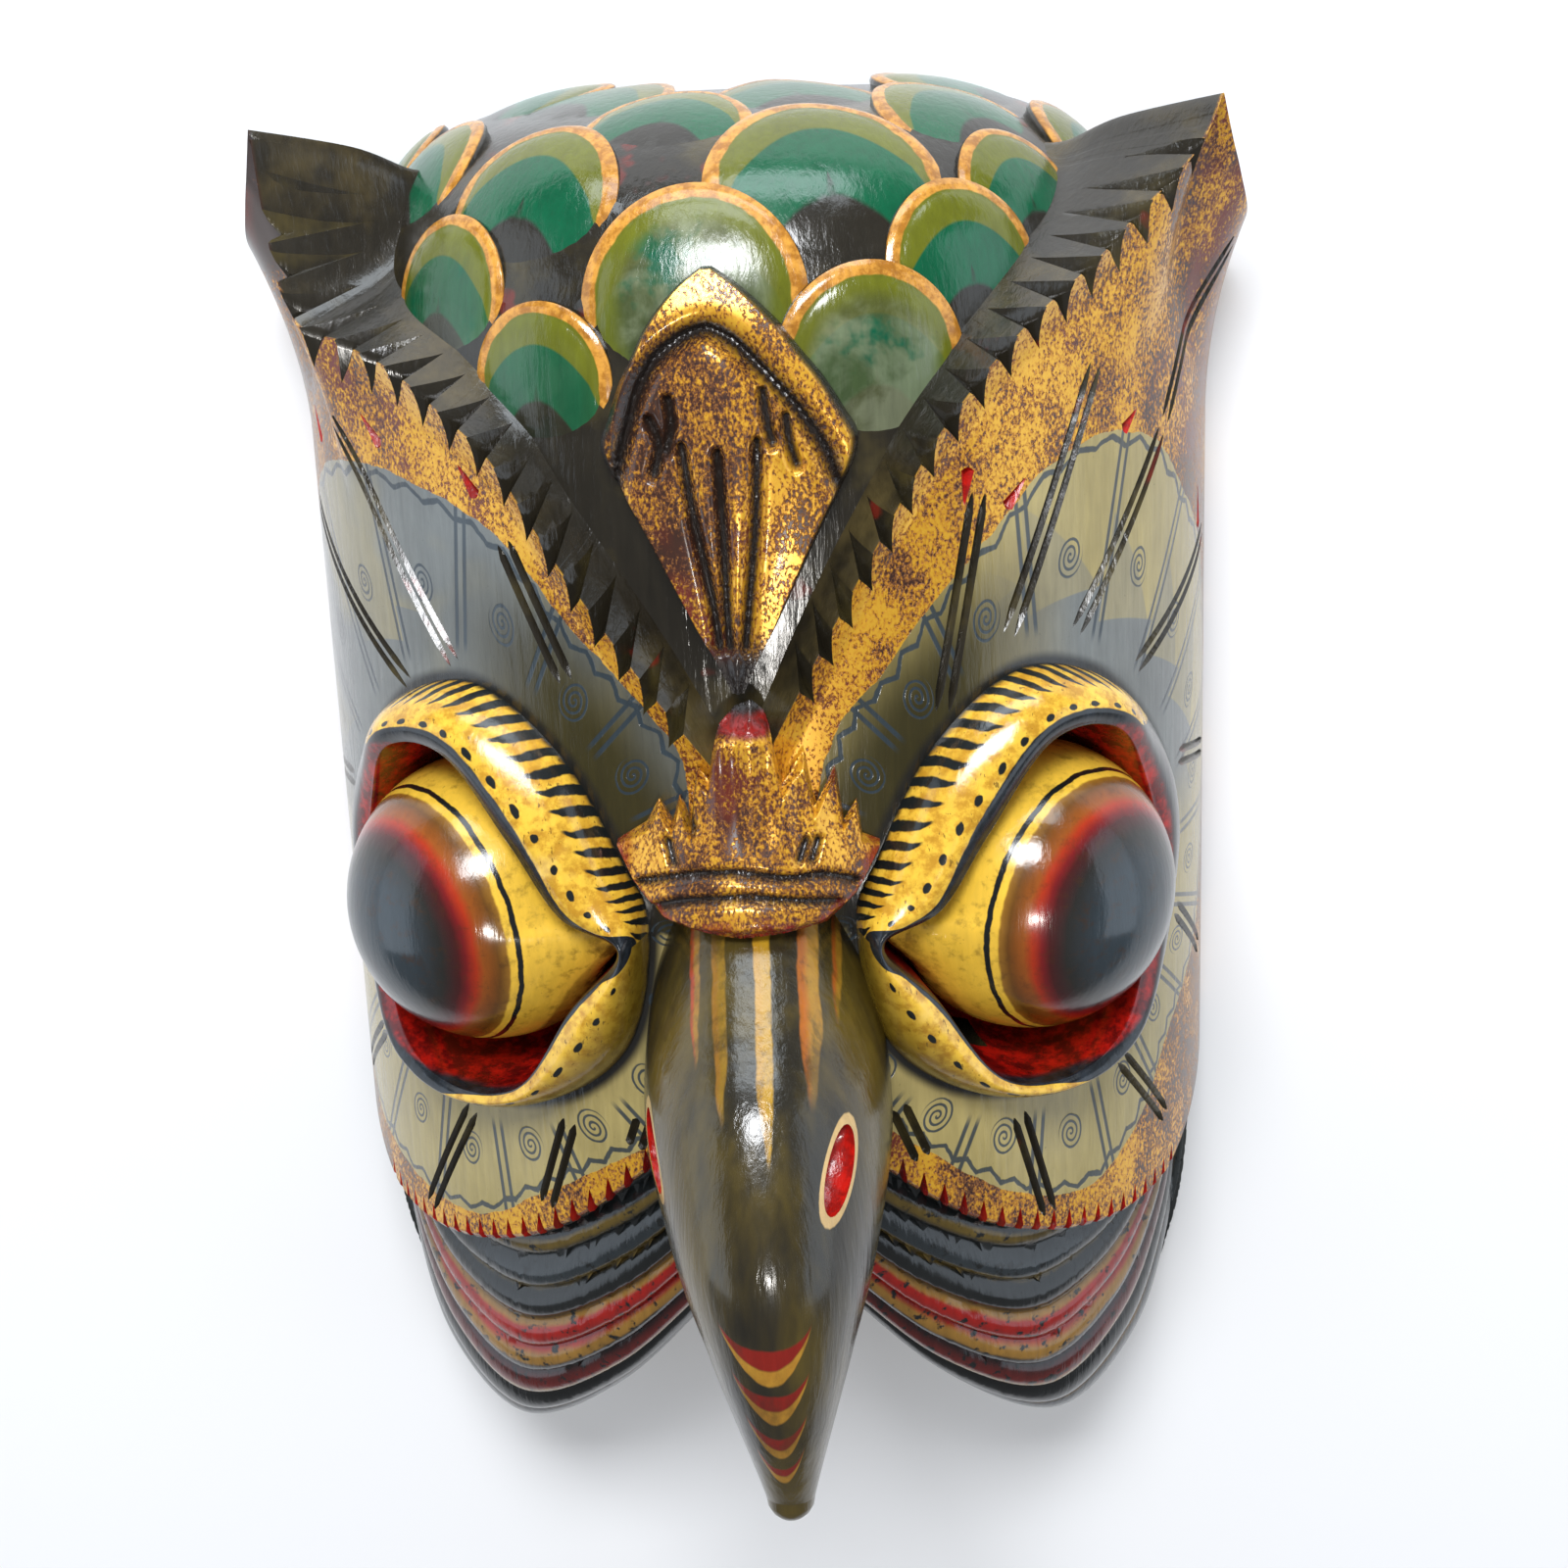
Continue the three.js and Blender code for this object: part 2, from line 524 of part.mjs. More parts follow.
function carve() {
  const head = barrel(HEAD_RADIUS, 2 * HEAD_MIDDLE - HEAD_TOP, HEAD_TOP, HEAD_POWER, 19);
  const hollow = barrel(HOLLOW_RADIUS, along(HOLLOW_CHIN_Y), HEAD_TOP - HOLLOW_TOP_WOOD, HOLLOW_POWER, 15);
  const belowCheeks = waste([0, 0], [-1, along(CHEEK_END_Y)], [0, 0]);
  const front = [head.subtract(belowCheeks), scales(), plate(), lobe(1), lobe(-1), beak()];
  let body = union(front).subtract(hollow);
  for (const eye of [eyePlug(-1), eyePlug(1)]) {
    body = body.subtract(eye.socket).add(eye.plug).subtract(eye.slit);
  }
  body = union([body, crown(), leaf()]);
  for (const side of [-1, 1]) body = body.subtract(nostril(side));
  return body.subtract(waste([0, 0], [0, 0], [-1, 0]));
}

const group = new THREE.Group();
const owl = meshOf("mask", carve(), wood);
owl.geometry.computeBoundingBox();
const { min, max } = owl.geometry.boundingBox;
owl.position.y = -(min.y + max.y) / 2;
group.add(owl);

export default group;
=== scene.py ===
from functools import partial, reduce

import bpy
import numpy as np
from bpy.props import FloatProperty, FloatVectorProperty, PointerProperty
from mathutils import Matrix


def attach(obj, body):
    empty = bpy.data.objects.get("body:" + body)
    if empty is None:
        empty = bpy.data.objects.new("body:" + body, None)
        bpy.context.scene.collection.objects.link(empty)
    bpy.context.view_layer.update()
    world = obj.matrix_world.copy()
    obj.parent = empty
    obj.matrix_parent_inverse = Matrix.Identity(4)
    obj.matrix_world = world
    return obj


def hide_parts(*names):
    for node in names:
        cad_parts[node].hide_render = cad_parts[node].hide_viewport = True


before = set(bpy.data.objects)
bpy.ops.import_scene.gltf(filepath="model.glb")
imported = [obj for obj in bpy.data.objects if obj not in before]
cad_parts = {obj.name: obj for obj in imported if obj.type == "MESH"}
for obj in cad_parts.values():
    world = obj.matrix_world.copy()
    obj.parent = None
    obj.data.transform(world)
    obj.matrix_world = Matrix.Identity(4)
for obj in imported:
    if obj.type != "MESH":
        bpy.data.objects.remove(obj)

bl_info = {
    "name": "Carved owl mask",
    "version": (1, 0, 0),
    "blender": (4, 5, 0),
    "location": "View3D > Sidebar > Owl mask",
    "description": "Carved and painted wooden owl mask, lying on its back rim",
    "category": "Object",
}

# Tables and places are in millimetres as drawn, with the axis of the carved half log along Y. SHIFT_Y moves
# the drawing onto the CAD frame. Outlines on the log are in degrees from the middle of the face and in height.
# A key of -1 is the left half as seen from the front, 1 the right.
SHIFT_Y = 12.551
DRAWN_RADIUS = 80

# Head and hollow: ends, powers of their rounding, thickness of wood, step down from the face plate
HEAD_TOP, HEAD_MIDDLE, HEAD_POWER = 110, -10, 4.4
CHEEK_END_Y = -50
HOLLOW_TOP_WOOD, HOLLOW_CHIN_Y, HOLLOW_POWER = 12, -94, 3.4
WALL = 9
PLATE_STEP = 4

# Scales: turn, run up the head to the round end, radius, how crisp the painted bands are; then the depth of
# their roots, and how much longer the root is than the round end
SCALES = [
    (20, 162, 15, 1), (-50, 158, 15, 1), (78, 152, 15, 1), (-80, 152, 14, 1), (-14, 146, 14, 1),
    (50, 142, 15, 1), (15.1, 133, 19.5, 1), (-31.4, 126, 16, 1), (-63, 126, 14, 1), (76, 124, 14, 1),
    (-84, 122, 13, 1), (47, 119, 13, 1), (32.6, 110, 14, 1), (-42, 106, 13, 0.8), (-4.5, 112, 18, 0.1),
    (17.8, 98, 15.5, 0.25), (-24.5, 93, 12.5, 0.9),
]
SKIRT, SCALE_ROOT = 7, 1.8

# Face plate: crest of the brow, edge of the band behind it, back and tip of the ear, lower edge
CREST = {
    -1: [
        (0, 5), (9.7, 23.3), (20, 43.9), (27, 58.7), (33.3, 65.8), (41.5, 72.4), (50.5, 75.7), (58, 81),
        (62.5, 110),
    ],
    1: [
        (0, 6), (7.5, 26), (16.6, 48.3), (24, 64), (34.2, 77.6), (48.4, 89.3), (57.5, 100), (62.5, 109),
    ],
}
BAND_INNER = {
    -1: [
        (0, 20), (3.3, 26), (9.6, 46.4), (17.8, 63.2), (31.9, 76.3), (44, 83), (62, 97), (79, 99),
        (96, 97),
    ],
    1: [
        (0, 20), (3, 33.4), (11.4, 57.3), (22, 72.5), (28.3, 77.5), (41.2, 89), (62, 98), (79, 99),
        (96, 97),
    ],
}
EAR_BACK = [(62.5, 109.5), (67, 99), (75, 88), (96, 77)]
EAR_TIP = 62.5
PLATE_LOW = [
    (0, -46), (12, -58.6), (21.4, -69.5), (31, -77.6), (44, -83), (57, -84), (68, -80), (96, -60),
]
# Its teeth: number on each crest, where those start and how high they stand; number, start and span below
CREST_TEETH = {-1: 20, 1: 18}
CREST_START, CREST_RISE = 6, 2.5
LOW_TEETH, LOW_TEETH_START, LOW_TEETH_SPAN = 20, 13, 52
# Painted disc round each eye, and degrees from one ray to the next
DISC = {
    -1: [
        (7.7, 14.6), (13.5, 24.4), (20.1, 34.1), (27.7, 46.1), (35.8, 51.9), (47.8, 55.6), (57, 55),
        (65.3, 52.4), (73, 46), (78, 34), (80, 16), (81, -8), (80, -32), (77, -54), (70, -68),
        (62, -72.9), (52.8, -76), (43, -76.9), (36.5, -74.4), (28.4, -67.6), (18.4, -59.7), (12, -53),
        (8, -40), (7, -15), (6.5, 5),
    ],
    1: [
        (11.4, 18), (16.5, 25.5), (22.3, 35.4), (29.6, 44.7), (37, 53.4), (45.5, 57.5), (53.2, 56.3),
        (59, 53.2), (64, 46.9), (71, 37.9), (76, 30), (80, 16), (82, -4), (80, -24), (75, -40),
        (67, -49), (61, -56), (56, -65), (50, -71), (43.5, -74.5), (36, -72.7), (29.2, -68.3),
        (22, -61), (15, -53), (10, -40), (8, -15), (8, 5),
    ],
}
PANEL = 19
# Engraved lines, each cut twice, this far to either side; drop-shaped cuts
GROOVES = [
    ((32, 28), (45.5, 69)), ((42, 26), (59.5, 55)), ((60.5, 56.5), (74, 84)), ((53.5, 16.5), (78, 33)),
    ((23.2, 17.2), (28.3, 51.8)), ((64.7, -32), (77.6, -46)), ((50, -53), (61.5, -70.4)),
    ((32.5, -56), (37, -76.5)), ((16.5, -50), (19.4, -60)), ((65.5, -3.9), (80, -8)),
    ((-36.5, 24.8), (-57.1, 62.7)), ((-20.6, 24.3), (-27.7, 46.1)), ((-45.3, 19.3), (-75, 45)),
    ((-39.7, -55.7), (-51.2, -79.9)), ((-24.2, -53.2), (-28.5, -70.1)),
    ((-14.3, -51.3), (-15.6, -56.3)), ((-61.3, -50), (-75, -64)), ((-65, -4), (-80, -6)),
]
GROOVE_ASIDE = 1.15
DROPS = [
    ((31.8, 48.6), (34.6, 53)), ((50.6, 57), (53.4, 60)), ((74.5, 34), (74, 42)),
    ((27, 56), (26.4, 50)), ((-47, 59), (-50, 64)), ((-31, 53), (-33.5, 58)), ((-66, 56), (-69, 62)),
]
DROP_WIDTH = 2.2

# Eye: edges of the lid; place of the ball on the log, depth of its middle and turn outwards; depth of trough
# and of the wood behind; where the pupil looks; the gaze painted off the ball
LID_OUTER = [
    (12, -17), (14.9, -5.5), (21.5, 11), (32, 21.7), (43, 19.6), (53, 9.5), (61, -5), (62, -20),
    (56.5, -36), (43, -50), (27, -49.5), (15.5, -38),
]
LID_INNER = [
    (14, -18), (20.5, -13), (26, -1.5), (33.5, 11.5), (42, 11.5), (49, 1.5), (53, -10), (53, -22),
    (48.5, -35), (39, -46), (27.5, -44.5), (20, -29),
]
EYE_ANGLE, EYE_Y, EYE_DEPTH, EYE_TURN = 38, -17.5, 6.3, 35
TROUGH_DEPTH, EYE_BACKING = 9, 16
GAZE = (48, -5)
OFF_BALL = 200
# Sight slit: from and to in degrees round the ball, outer and inner edge past its radius
SLIT_ARC, SLIT_REACH = (224, 252), (6, 2)

# Beak: along and share of its reach for the ridge, the same for its underside, then half its width
BEAK = [
    (-4, 0.02, -40, -0.9, 16), (-13, 0.22, -50, -0.72, 18.5), (-26, 0.55, -58, -0.5, 20),
    (-37, 0.8, -66, -0.3, 19.4), (-56, 1, -76, -0.06, 15.8), (-73, 1, -84, 0.18, 11.6),
    (-86, 0.93, -92, 0.35, 8.2), (-97, 0.82, -100, 0.48, 5.4), (-103.5, 0.74, -104.5, 0.54, 4),
]
BEAK_TIP = (-108, 0.66)
BEAK_LEAN = 4
# Flame stripes at its root: across, half width, length, share of plain ochre, strength
STRIPES = [
    (-9.4, 0.8, 31, 0, 0.7), (-5.4, 1.1, 37, 0.7, 0.5), (1.5, 1.3, 42, 0.9, 1),
    (8.6, 1.6, 36, 0.4, 0.85), (12.8, 0.7, 28, 0.2, 0.6),
]
# Crescents near its tip: along, thickness; then their middle and reach in degrees round the beak, and their dip
CRESCENTS = [(74, 3.0), (82, 2.6), (90, 2.1), (96.5, 1.5)]
CRESCENT_MIDDLE, CRESCENT_REACH, CRESCENT_DIP = -4, 34, 10
# Nostrils: across, along, share of the beak's reach and turn outwards; tilt, lean and half sizes of both
NOSTRIL = {-1: (-15.4, -46, 0.46, 78), 1: (14, -44.8, 0.72, 52)}
NOSTRIL_TILT, NOSTRIL_LEAN = -11, 40
NOSTRIL_SIZE = (2.9, 7.4, 4.4)

# Forehead leaf: along and half its width; arch and veins carved in it, across and along
LEAF_WIDTH = [
    (23, 1), (28, 3.4), (33, 6.2), (40, 9.7), (49, 14.2), (56, 18), (61.7, 19.9), (66, 18.2),
    (71, 15.8), (75, 13.2), (80, 9.8), (85, 5), (88, 0.8),
]
LEAF_ARCH = [
    (-19, 52), (-17.5, 60), (-16, 65), (-14.4, 69.8), (-11.6, 74.6), (-7.2, 78), (-3, 79.3),
    (1.1, 77.3), (5.4, 72.9), (10.7, 66.8), (14.6, 60.5), (16.5, 55),
]
LEAF_VEINS = [
    [(-7.6, 62), (-6, 50), (-3.9, 38), (-3, 30)], [(-2, 61), (-1.6, 48), (-1.6, 36), (-1.4, 30)],
    [(4.1, 62.5), (3.4, 50), (2, 38), (1, 30)], [(-12.6, 66), (-11, 62), (-12, 57.5)],
    [(-9.4, 69), (-9, 65), (-10, 61)], [(5.2, 70), (5.6, 66), (6.4, 62)],
    [(8.6, 66), (9, 62), (10, 58.5)],
]
# Crown: its edges and the lines carved in it, across and along, and how far its sides fall away
CROWN_LOW = [
    (-21, -2), (-18, -7), (-13.4, -11.4), (-7.4, -12.6), (-1.2, -13.4), (5.8, -13), (12.4, -12.3),
    (17.2, -9.2), (21, -3),
]
CROWN_TOP = [
    (-21, -1.5), (-16, 2.2), (-13.7, 6.4), (-11.6, 2.7), (-10.3, 7.4), (-8.6, 2.4), (-7.3, 12.2),
    (-5.5, 9.8), (-4.7, 14.6), (-3.6, 18.6), (-1, 21.4), (1.6, 22.6), (3.6, 20.4), (4.7, 16.2),
    (6.1, 9), (9.5, 13.9), (11, 5), (14.3, 10.6), (15.4, 2), (17.6, 4.8), (18.2, -1), (21, -2.6),
]
CROWN_GROOVES = [
    [(-17.2, -6.4), (-9.3, -4.1), (-3, -3.3), (1.3, -3.6), (7, -4.6), (12, -4.9), (17.2, -6.9)],
    [(-14.5, -9.6), (-9.5, -7.9), (-1.5, -6.9), (4.4, -7.4), (14.4, -9.3)],
    [(-12.2, 0.5), (-11.3, -2.6)], [(9.6, 0.6), (8.6, -2)], [(11.4, 0.4), (10.4, -2.4)],
    [(-8.8, 6), (-8, 2.8)],
]
CROWN_ROUND = 11
# Depth of leaf and crown in the wood
ROOT_DEPTH = 14

# Chin lobes: outer and inner edge, across and along; power of their rounding, height of the edge, ridges
LOBE_LOW = [
    (-6, -84), (14, -107), (32, -126), (52, -137), (67, -126), (74, -108), (77, -90), (77.5, -62),
]
LOBE_HIGH = [(-6, -42), (9, -50), (22, -60), (38, -70), (50, -74), (60, -75), (67, -69), (70, -56)]
LOBE_POWER, LOBE_EDGE, LOBE_RIDGES = 2.3, 9, 9

# Depth of the brush marks, in metres as the Bump node takes it
BRUSH_MARK = 0.00014

# Camera, in millimetres as drawn: what it looks at, how far off, its tilt, yaw and roll
CAMERA = {"at": (4.2, -3.5, 45), "away": 460, "tilt": 18, "yaw": 3.2, "roll": 2.4, "lens": 61.4}
# Soft lights: place and aim in metres, width and height in metres, watts, tint
SOFTBOXES = {
    "top_softbox": ((-0.06, 0.75, 0.9), (0, 0.02, 0.06), (0.5, 0.3), 13, (0.95, 0.97, 1)),
    "back_softbox": ((0, 1.25, 0.4), (0, 0, 0.06), (1.1, 0.4), 8, (0.85, 0.93, 1)),
    "left_softbox": ((-1.2, 0.1, 0.4), (0, 0, 0.06), (1.6, 0.75), 5, (0.78, 0.88, 1)),
    "right_softbox": ((1.2, 0.1, 0.4), (0, 0, 0.06), (1.6, 0.75), 5, (0.78, 0.88, 1)),
    "front_softbox": ((0.1, -0.2, 1.3), (0, 0, 0.05), (0.1, 0.1), 4, (1, 0.97, 0.92)),
}


class OwlMaskSettings(bpy.types.PropertyGroup):
    """Sizes and colours of the mask"""
    log_radius: FloatProperty(
        name="Log radius", description="Round of the face plate", default=0.080, unit="LENGTH")
    ear_flare: FloatProperty(
        name="Ear flare", description="How far the ear tips stand out", default=0.0085, unit="LENGTH")
    tooth_length: FloatProperty(
        name="Tooth length", description="Length of a chip cut on the brow", default=0.0078, unit="LENGTH")
    groove_width: FloatProperty(
        name="Groove width", description="Width of an engraved line", default=0.0013, unit="LENGTH")
    scale_step: FloatProperty(
        name="Scale step", description="Height of a head scale's round end", default=0.0018, unit="LENGTH")
    eye_radius: FloatProperty(
        name="Eye radius", description="Radius of an eyeball", default=0.0245, unit="LENGTH")
    lid_rise: FloatProperty(
        name="Lid rise", description="Height of the lid above the plate", default=0.0095, unit="LENGTH")
    beak_reach: FloatProperty(
        name="Beak reach", description="Height of the beak above the plate", default=0.042, unit="LENGTH")
    leaf_rise: FloatProperty(
        name="Leaf rise", description="Height of the forehead leaf", default=0.005, unit="LENGTH")
    crown_rise: FloatProperty(
        name="Crown rise", description="Height of the crown above the plate", default=0.006, unit="LENGTH")
    ridge_depth: FloatProperty(
        name="Ridge depth", description="Depth of the grooves in the lobes", default=0.0024, unit="LENGTH")
    gold: FloatVectorProperty(
        name="Gold", description="Gold leaf", default=(0.52, 0.215, 0.010), subtype="COLOR")
    lacquer: FloatVectorProperty(
        name="Dark lacquer", description="Brown-black lacquer", default=(0.016, 0.013, 0.008), subtype="COLOR")
    red: FloatVectorProperty(
        name="Red", description="Red paint", default=(0.42, 0.008, 0.004), subtype="COLOR")
    yellow: FloatVectorProperty(
        name="Yellow", description="Yellow of lids and eyes", default=(0.75, 0.46, 0.045), subtype="COLOR")
    olive: FloatVectorProperty(
        name="Olive", description="Olive of the scales", default=(0.105, 0.115, 0.006), subtype="COLOR")
    emerald: FloatVectorProperty(
        name="Emerald", description="Green of the scales", default=(0.0, 0.08, 0.032), subtype="COLOR")
    khaki: FloatVectorProperty(
        name="Khaki", description="Ground of the eye discs", default=(0.33, 0.265, 0.10), subtype="COLOR")
    slate: FloatVectorProperty(
        name="Slate", description="Blue-grey of the eye discs", default=(0.10, 0.125, 0.15), subtype="COLOR")
    wood: FloatVectorProperty(
        name="Wood", description="Bare wood behind", default=(0.44, 0.27, 0.13), subtype="COLOR")
    floor: FloatVectorProperty(
        name="Floor", description="Studio floor", default=(0.86, 0.86, 0.87), subtype="COLOR")


def mm(length):
    return length * 1000


def lerp(a, b, share):
    return a + (b - a) * share


def smoothstep(x, low, high):
    t = np.clip((np.asarray(x, float) - low) / (high - low), 0, 1)
    return t * t * (3 - 2 * t)


def through(points, shares, closed=False):
    """Places at shares 0 to 1 along a smooth curve through the points."""
    points = np.asarray(points, float)
    count = len(points)
    spans = count if closed else count - 1
    run = np.asarray(shares, float) * spans
    first = np.floor(run).astype(int)
    if not closed:
        first = np.clip(first, 0, spans - 1)
    part = (run - first).reshape(-1, *[1] * (points.ndim - 1))

    def at(step):
        return points[(first + step) % count] if closed else points[np.clip(first + step, 0, count - 1)]

    before, here, after, beyond = at(-1), at(0), at(1), at(2)
    leave, arrive = (after - before) / 2, (beyond - here) / 2
    return ((2 * here - 2 * after + leave + arrive) * part ** 3
            + (3 * after - 3 * here - 2 * leave - arrive) * part ** 2 + leave * part + here)


def outline(pairs):
    """Height of an outline over a given angle or width."""
    line = through(pairs, np.linspace(0, 1, 97))
    return lambda x: np.interp(x, line[:, 0], line[:, 1])


def place(x, y, z):
    return np.stack(np.broadcast_arrays(*(np.asarray(part, float) for part in (x, y, z))), axis=-1)


def on_log(degrees, y, radius):
    angle = np.radians(degrees)
    return place(radius * np.sin(angle), y, radius * np.cos(angle))


def head_radius(settings, y):
    share = np.abs((np.asarray(y, float) - HEAD_MIDDLE) / (HEAD_TOP - HEAD_MIDDLE))
    return (mm(settings.log_radius) - PLATE_STEP) * np.maximum(0, 1 - share ** HEAD_POWER) ** (1 / HEAD_POWER)


def deselect():
    if bpy.context.object and bpy.context.object.mode != "OBJECT":
        bpy.ops.object.mode_set(mode="OBJECT")
    bpy.ops.object.select_all(action="DESELECT")


def activate(piece):
    deselect()
    piece.select_set(True)
    bpy.context.view_layer.objects.active = piece


def signed_volume(mesh):
    mesh.calc_loop_triangles()
    corners = np.empty(len(mesh.loop_triangles) * 3, int)
    mesh.loop_triangles.foreach_get("vertices", corners)
    co = np.empty(len(mesh.vertices) * 3)
    mesh.vertices.foreach_get("co", co)
    a, b, c = co.reshape(-1, 3)[corners.reshape(-1, 3)].transpose(1, 0, 2)
    return np.einsum("ij,ij->", a, np.cross(b, c))


def spindle(name, material, rings, start=None, end=None, values=None):
    """Closed body from a sphere: rings at the given places [ring, corner, axis], poles at start and end.

    A pole without a place lies in the middle of its ring. values are measures for the paint, each
    [ring, corner], with the first corner repeated last.
    """
    rings = np.asarray(rings, float)
    rows, around = rings.shape[:2]
    start = rings[0].mean(axis=0) if start is None else start
    end = rings[-1].mean(axis=0) if end is None else end
    deselect()
    bpy.ops.mesh.primitive_uv_sphere_add(segments=around, ring_count=rows + 1, radius=1)
    piece = bpy.context.active_object
    piece.name = piece.data.name = name
    mesh = piece.data
    unit = np.empty(len(mesh.vertices) * 3)
    mesh.vertices.foreach_get("co", unit)
    unit = unit.reshape(-1, 3)
    row = np.rint(np.arccos(np.clip(unit[:, 2], -1, 1)) * (rows + 1) / np.pi).astype(int)
    column = np.rint(np.arctan2(unit[:, 1], unit[:, 0]) * around / (2 * np.pi)).astype(int) % around
    grid = np.concatenate([np.broadcast_to(start, (1, around, 3)), rings, np.broadcast_to(end, (1, around, 3))])
    co = (grid[row, column] + (0, SHIFT_Y, 0)) / 1000
    mesh.vertices.foreach_set("co", co.ravel())
    if signed_volume(mesh) < 0:
        bpy.ops.object.mode_set(mode="EDIT")
        bpy.ops.mesh.select_all(action="SELECT")
        bpy.ops.mesh.flip_normals()
        bpy.ops.object.mode_set(mode="OBJECT")
    vertex = np.empty(len(mesh.loops), int)
    mesh.loops.foreach_get("vertex_index", vertex)
    first = np.empty(len(mesh.polygons), int)
    size = np.empty(len(mesh.polygons), int)
    mesh.polygons.foreach_get("loop_start", first)
    mesh.polygons.foreach_get("loop_total", size)
    face = np.repeat(np.arange(len(size)), size)
    r, c = row[vertex], column[vertex]
    pole = (r == 0) | (r == rows + 1)
    low = np.minimum.reduceat(np.where(pole, 2 * around, c), first)
    high = np.maximum.reduceat(np.where(pole, -1, c), first)
    wraps = (high - low > around / 2)[face]
    c = np.where(wraps & (c == 0), around, c)
    c = np.where(pole, np.where(wraps, around - 1, low[face]), c)
    layer = mesh.uv_layers[0]
    layer.data.foreach_set("uv", np.stack([(c + 0.5 * pole) / around, r / (rows + 1)], axis=1).ravel())
    for key, table in (values or {}).items():
        table = np.broadcast_to(np.asarray(table, float), (rows, around + 1))
        table = np.concatenate([table[:1], table, table[-1:]])
        corner = mesh.attributes.new(key, "FLOAT", "CORNER")
        corner.data.foreach_set("value", table[r, c])
    mesh.materials.append(material)
    return piece


def combine(piece, other, operation):
    """Join another solid to a piece or cut it away, and leave nothing of it behind."""
    activate(piece)
    bpy.ops.object.modifier_add(type="BOOLEAN")
    modifier = piece.modifiers[-1]
    modifier.operation = operation
    modifier.solver = "MANIFOLD"
    modifier.material_mode = "TRANSFER"
    modifier.object = other
    bpy.ops.object.modifier_apply(modifier=modifier.name)
    activate(other)
    bpy.ops.object.delete()


def cut(piece, *others):
    for other in others:
        combine(piece, other, "DIFFERENCE")


def finish_piece(piece, angle=32):
    activate(piece)
    bpy.ops.object.shade_smooth_by_angle(angle=np.radians(angle))
    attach(piece, "root")
    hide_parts("mask")


class Nodes:
    """Adds shader nodes to a tree, one call each."""

    def __init__(self, tree):
        self.tree = tree

    def add(self, kind, inputs=(), **settings):
        node = self.tree.nodes.new(kind)
        for key, value in settings.items():
            setattr(node, key, value)
        for key, value in dict(inputs).items():
            self.feed(node.inputs[key], value)
        return node

    def feed(self, socket, value):
        if isinstance(value, bpy.types.NodeSocket):
            self.tree.links.new(value, socket)
        elif socket.type == "RGBA" and len(value) == 3:
            socket.default_value = (*value, 1)
        else:
            socket.default_value = value

    def math(self, operation, *values):
        node = self.add("ShaderNodeMath", operation=operation)
        for socket, value in zip(node.inputs, values):
            self.feed(socket, value)
        return node.outputs[0]

    def times(self, *values):
        return reduce(partial(self.math, "MULTIPLY"), values)

    def plus(self, *values):
        return reduce(partial(self.math, "ADD"), values)

    def minus(self, a, b):
        return self.math("SUBTRACT", a, b)

    def most(self, *values):
        return reduce(partial(self.math, "MAXIMUM"), values)

    def distance(self, a, b):
        """Distance from the middle of a pattern, of a place that is a across and b along it."""
        squares = [self.math("POWER", self.math("ABSOLUTE", value), 2.0) for value in (a, b)]
        return self.math("SQRT", self.plus(*squares))

    def attribute(self, name):
        return self.add("ShaderNodeAttribute", attribute_name=name).outputs["Fac"]

    def place(self, scale=(1, 1, 1)):
        coordinates = self.add("ShaderNodeTexCoord").outputs["Object"]
        return self.add("ShaderNodeMapping", {"Vector": coordinates, "Scale": scale}).outputs[0]

    def noise(self, vector, scale, detail=4, rough=0.55, warp=0):
        node = self.add("ShaderNodeTexNoise", {"Vector": vector, "Scale": scale, "Detail": detail,
                                               "Roughness": rough, "Distortion": warp})
        return node.outputs["Fac"]

    def step(self, value, low, high, invert=False):
        """0 below low, 1 above high, smooth between, or the other way round."""
        ends = (1, 0) if invert else (0, 1)
        node = self.add("ShaderNodeMapRange", {
            "Value": value, "From Min": low, "From Max": high, "To Min": ends[0], "To Max": ends[1],
        }, interpolation_type="SMOOTHSTEP")
        return node.outputs[0]

    def mix(self, share, a, b):
        node = self.add("ShaderNodeMix", data_type="RGBA")
        for socket, value in zip((node.inputs[0], node.inputs[6], node.inputs[7]), (share, a, b)):
            self.feed(socket, value)
        return node.outputs[2]

    def blend(self, share, a, b):
        node = self.add("ShaderNodeMix", data_type="FLOAT")
        for socket, value in zip((node.inputs[0], node.inputs[2], node.inputs[3]), (share, a, b)):
            self.feed(socket, value)
        return node.outputs[0]

    def ramp(self, value, stops):
        node = self.add("ShaderNodeValToRGB", {"Fac": value})
        elements = node.color_ramp.elements
        while len(elements) < len(stops):
            elements.new(1)
        for element, (position, colour) in zip(elements, stops):
            element.position = position
            element.color = (*colour, 1)
        return node.outputs["Color"]

    def line(self, value, middle, half, soft=0.12):
        """1 on a line of this half width at the given value."""
        off = self.math("ABSOLUTE", self.minus(value, middle))
        return self.step(off, self.minus(half, soft), self.plus(half, soft), invert=True)

    def group(self, tree, **inputs):
        node = self.add("ShaderNodeGroup", node_tree=tree)
        for key, value in inputs.items():
            self.feed(node.inputs[key.replace("_", " ")], value)
        return node.outputs


def group_tree(name, inputs, outputs):
    tree = bpy.data.node_groups.new(name, "ShaderNodeTree")
    kinds = {"color": "NodeSocketColor", "value": "NodeSocketFloat", "vector": "NodeSocketVector"}
    for key, kind in inputs:
        tree.interface.new_socket(key, in_out="INPUT", socket_type=kinds[kind])
    for key, kind in outputs:
        tree.interface.new_socket(key, in_out="OUTPUT", socket_type=kinds[kind])
    nodes = Nodes(tree)
    return tree, nodes, nodes.add("NodeGroupInput").outputs, nodes.add("NodeGroupOutput").inputs


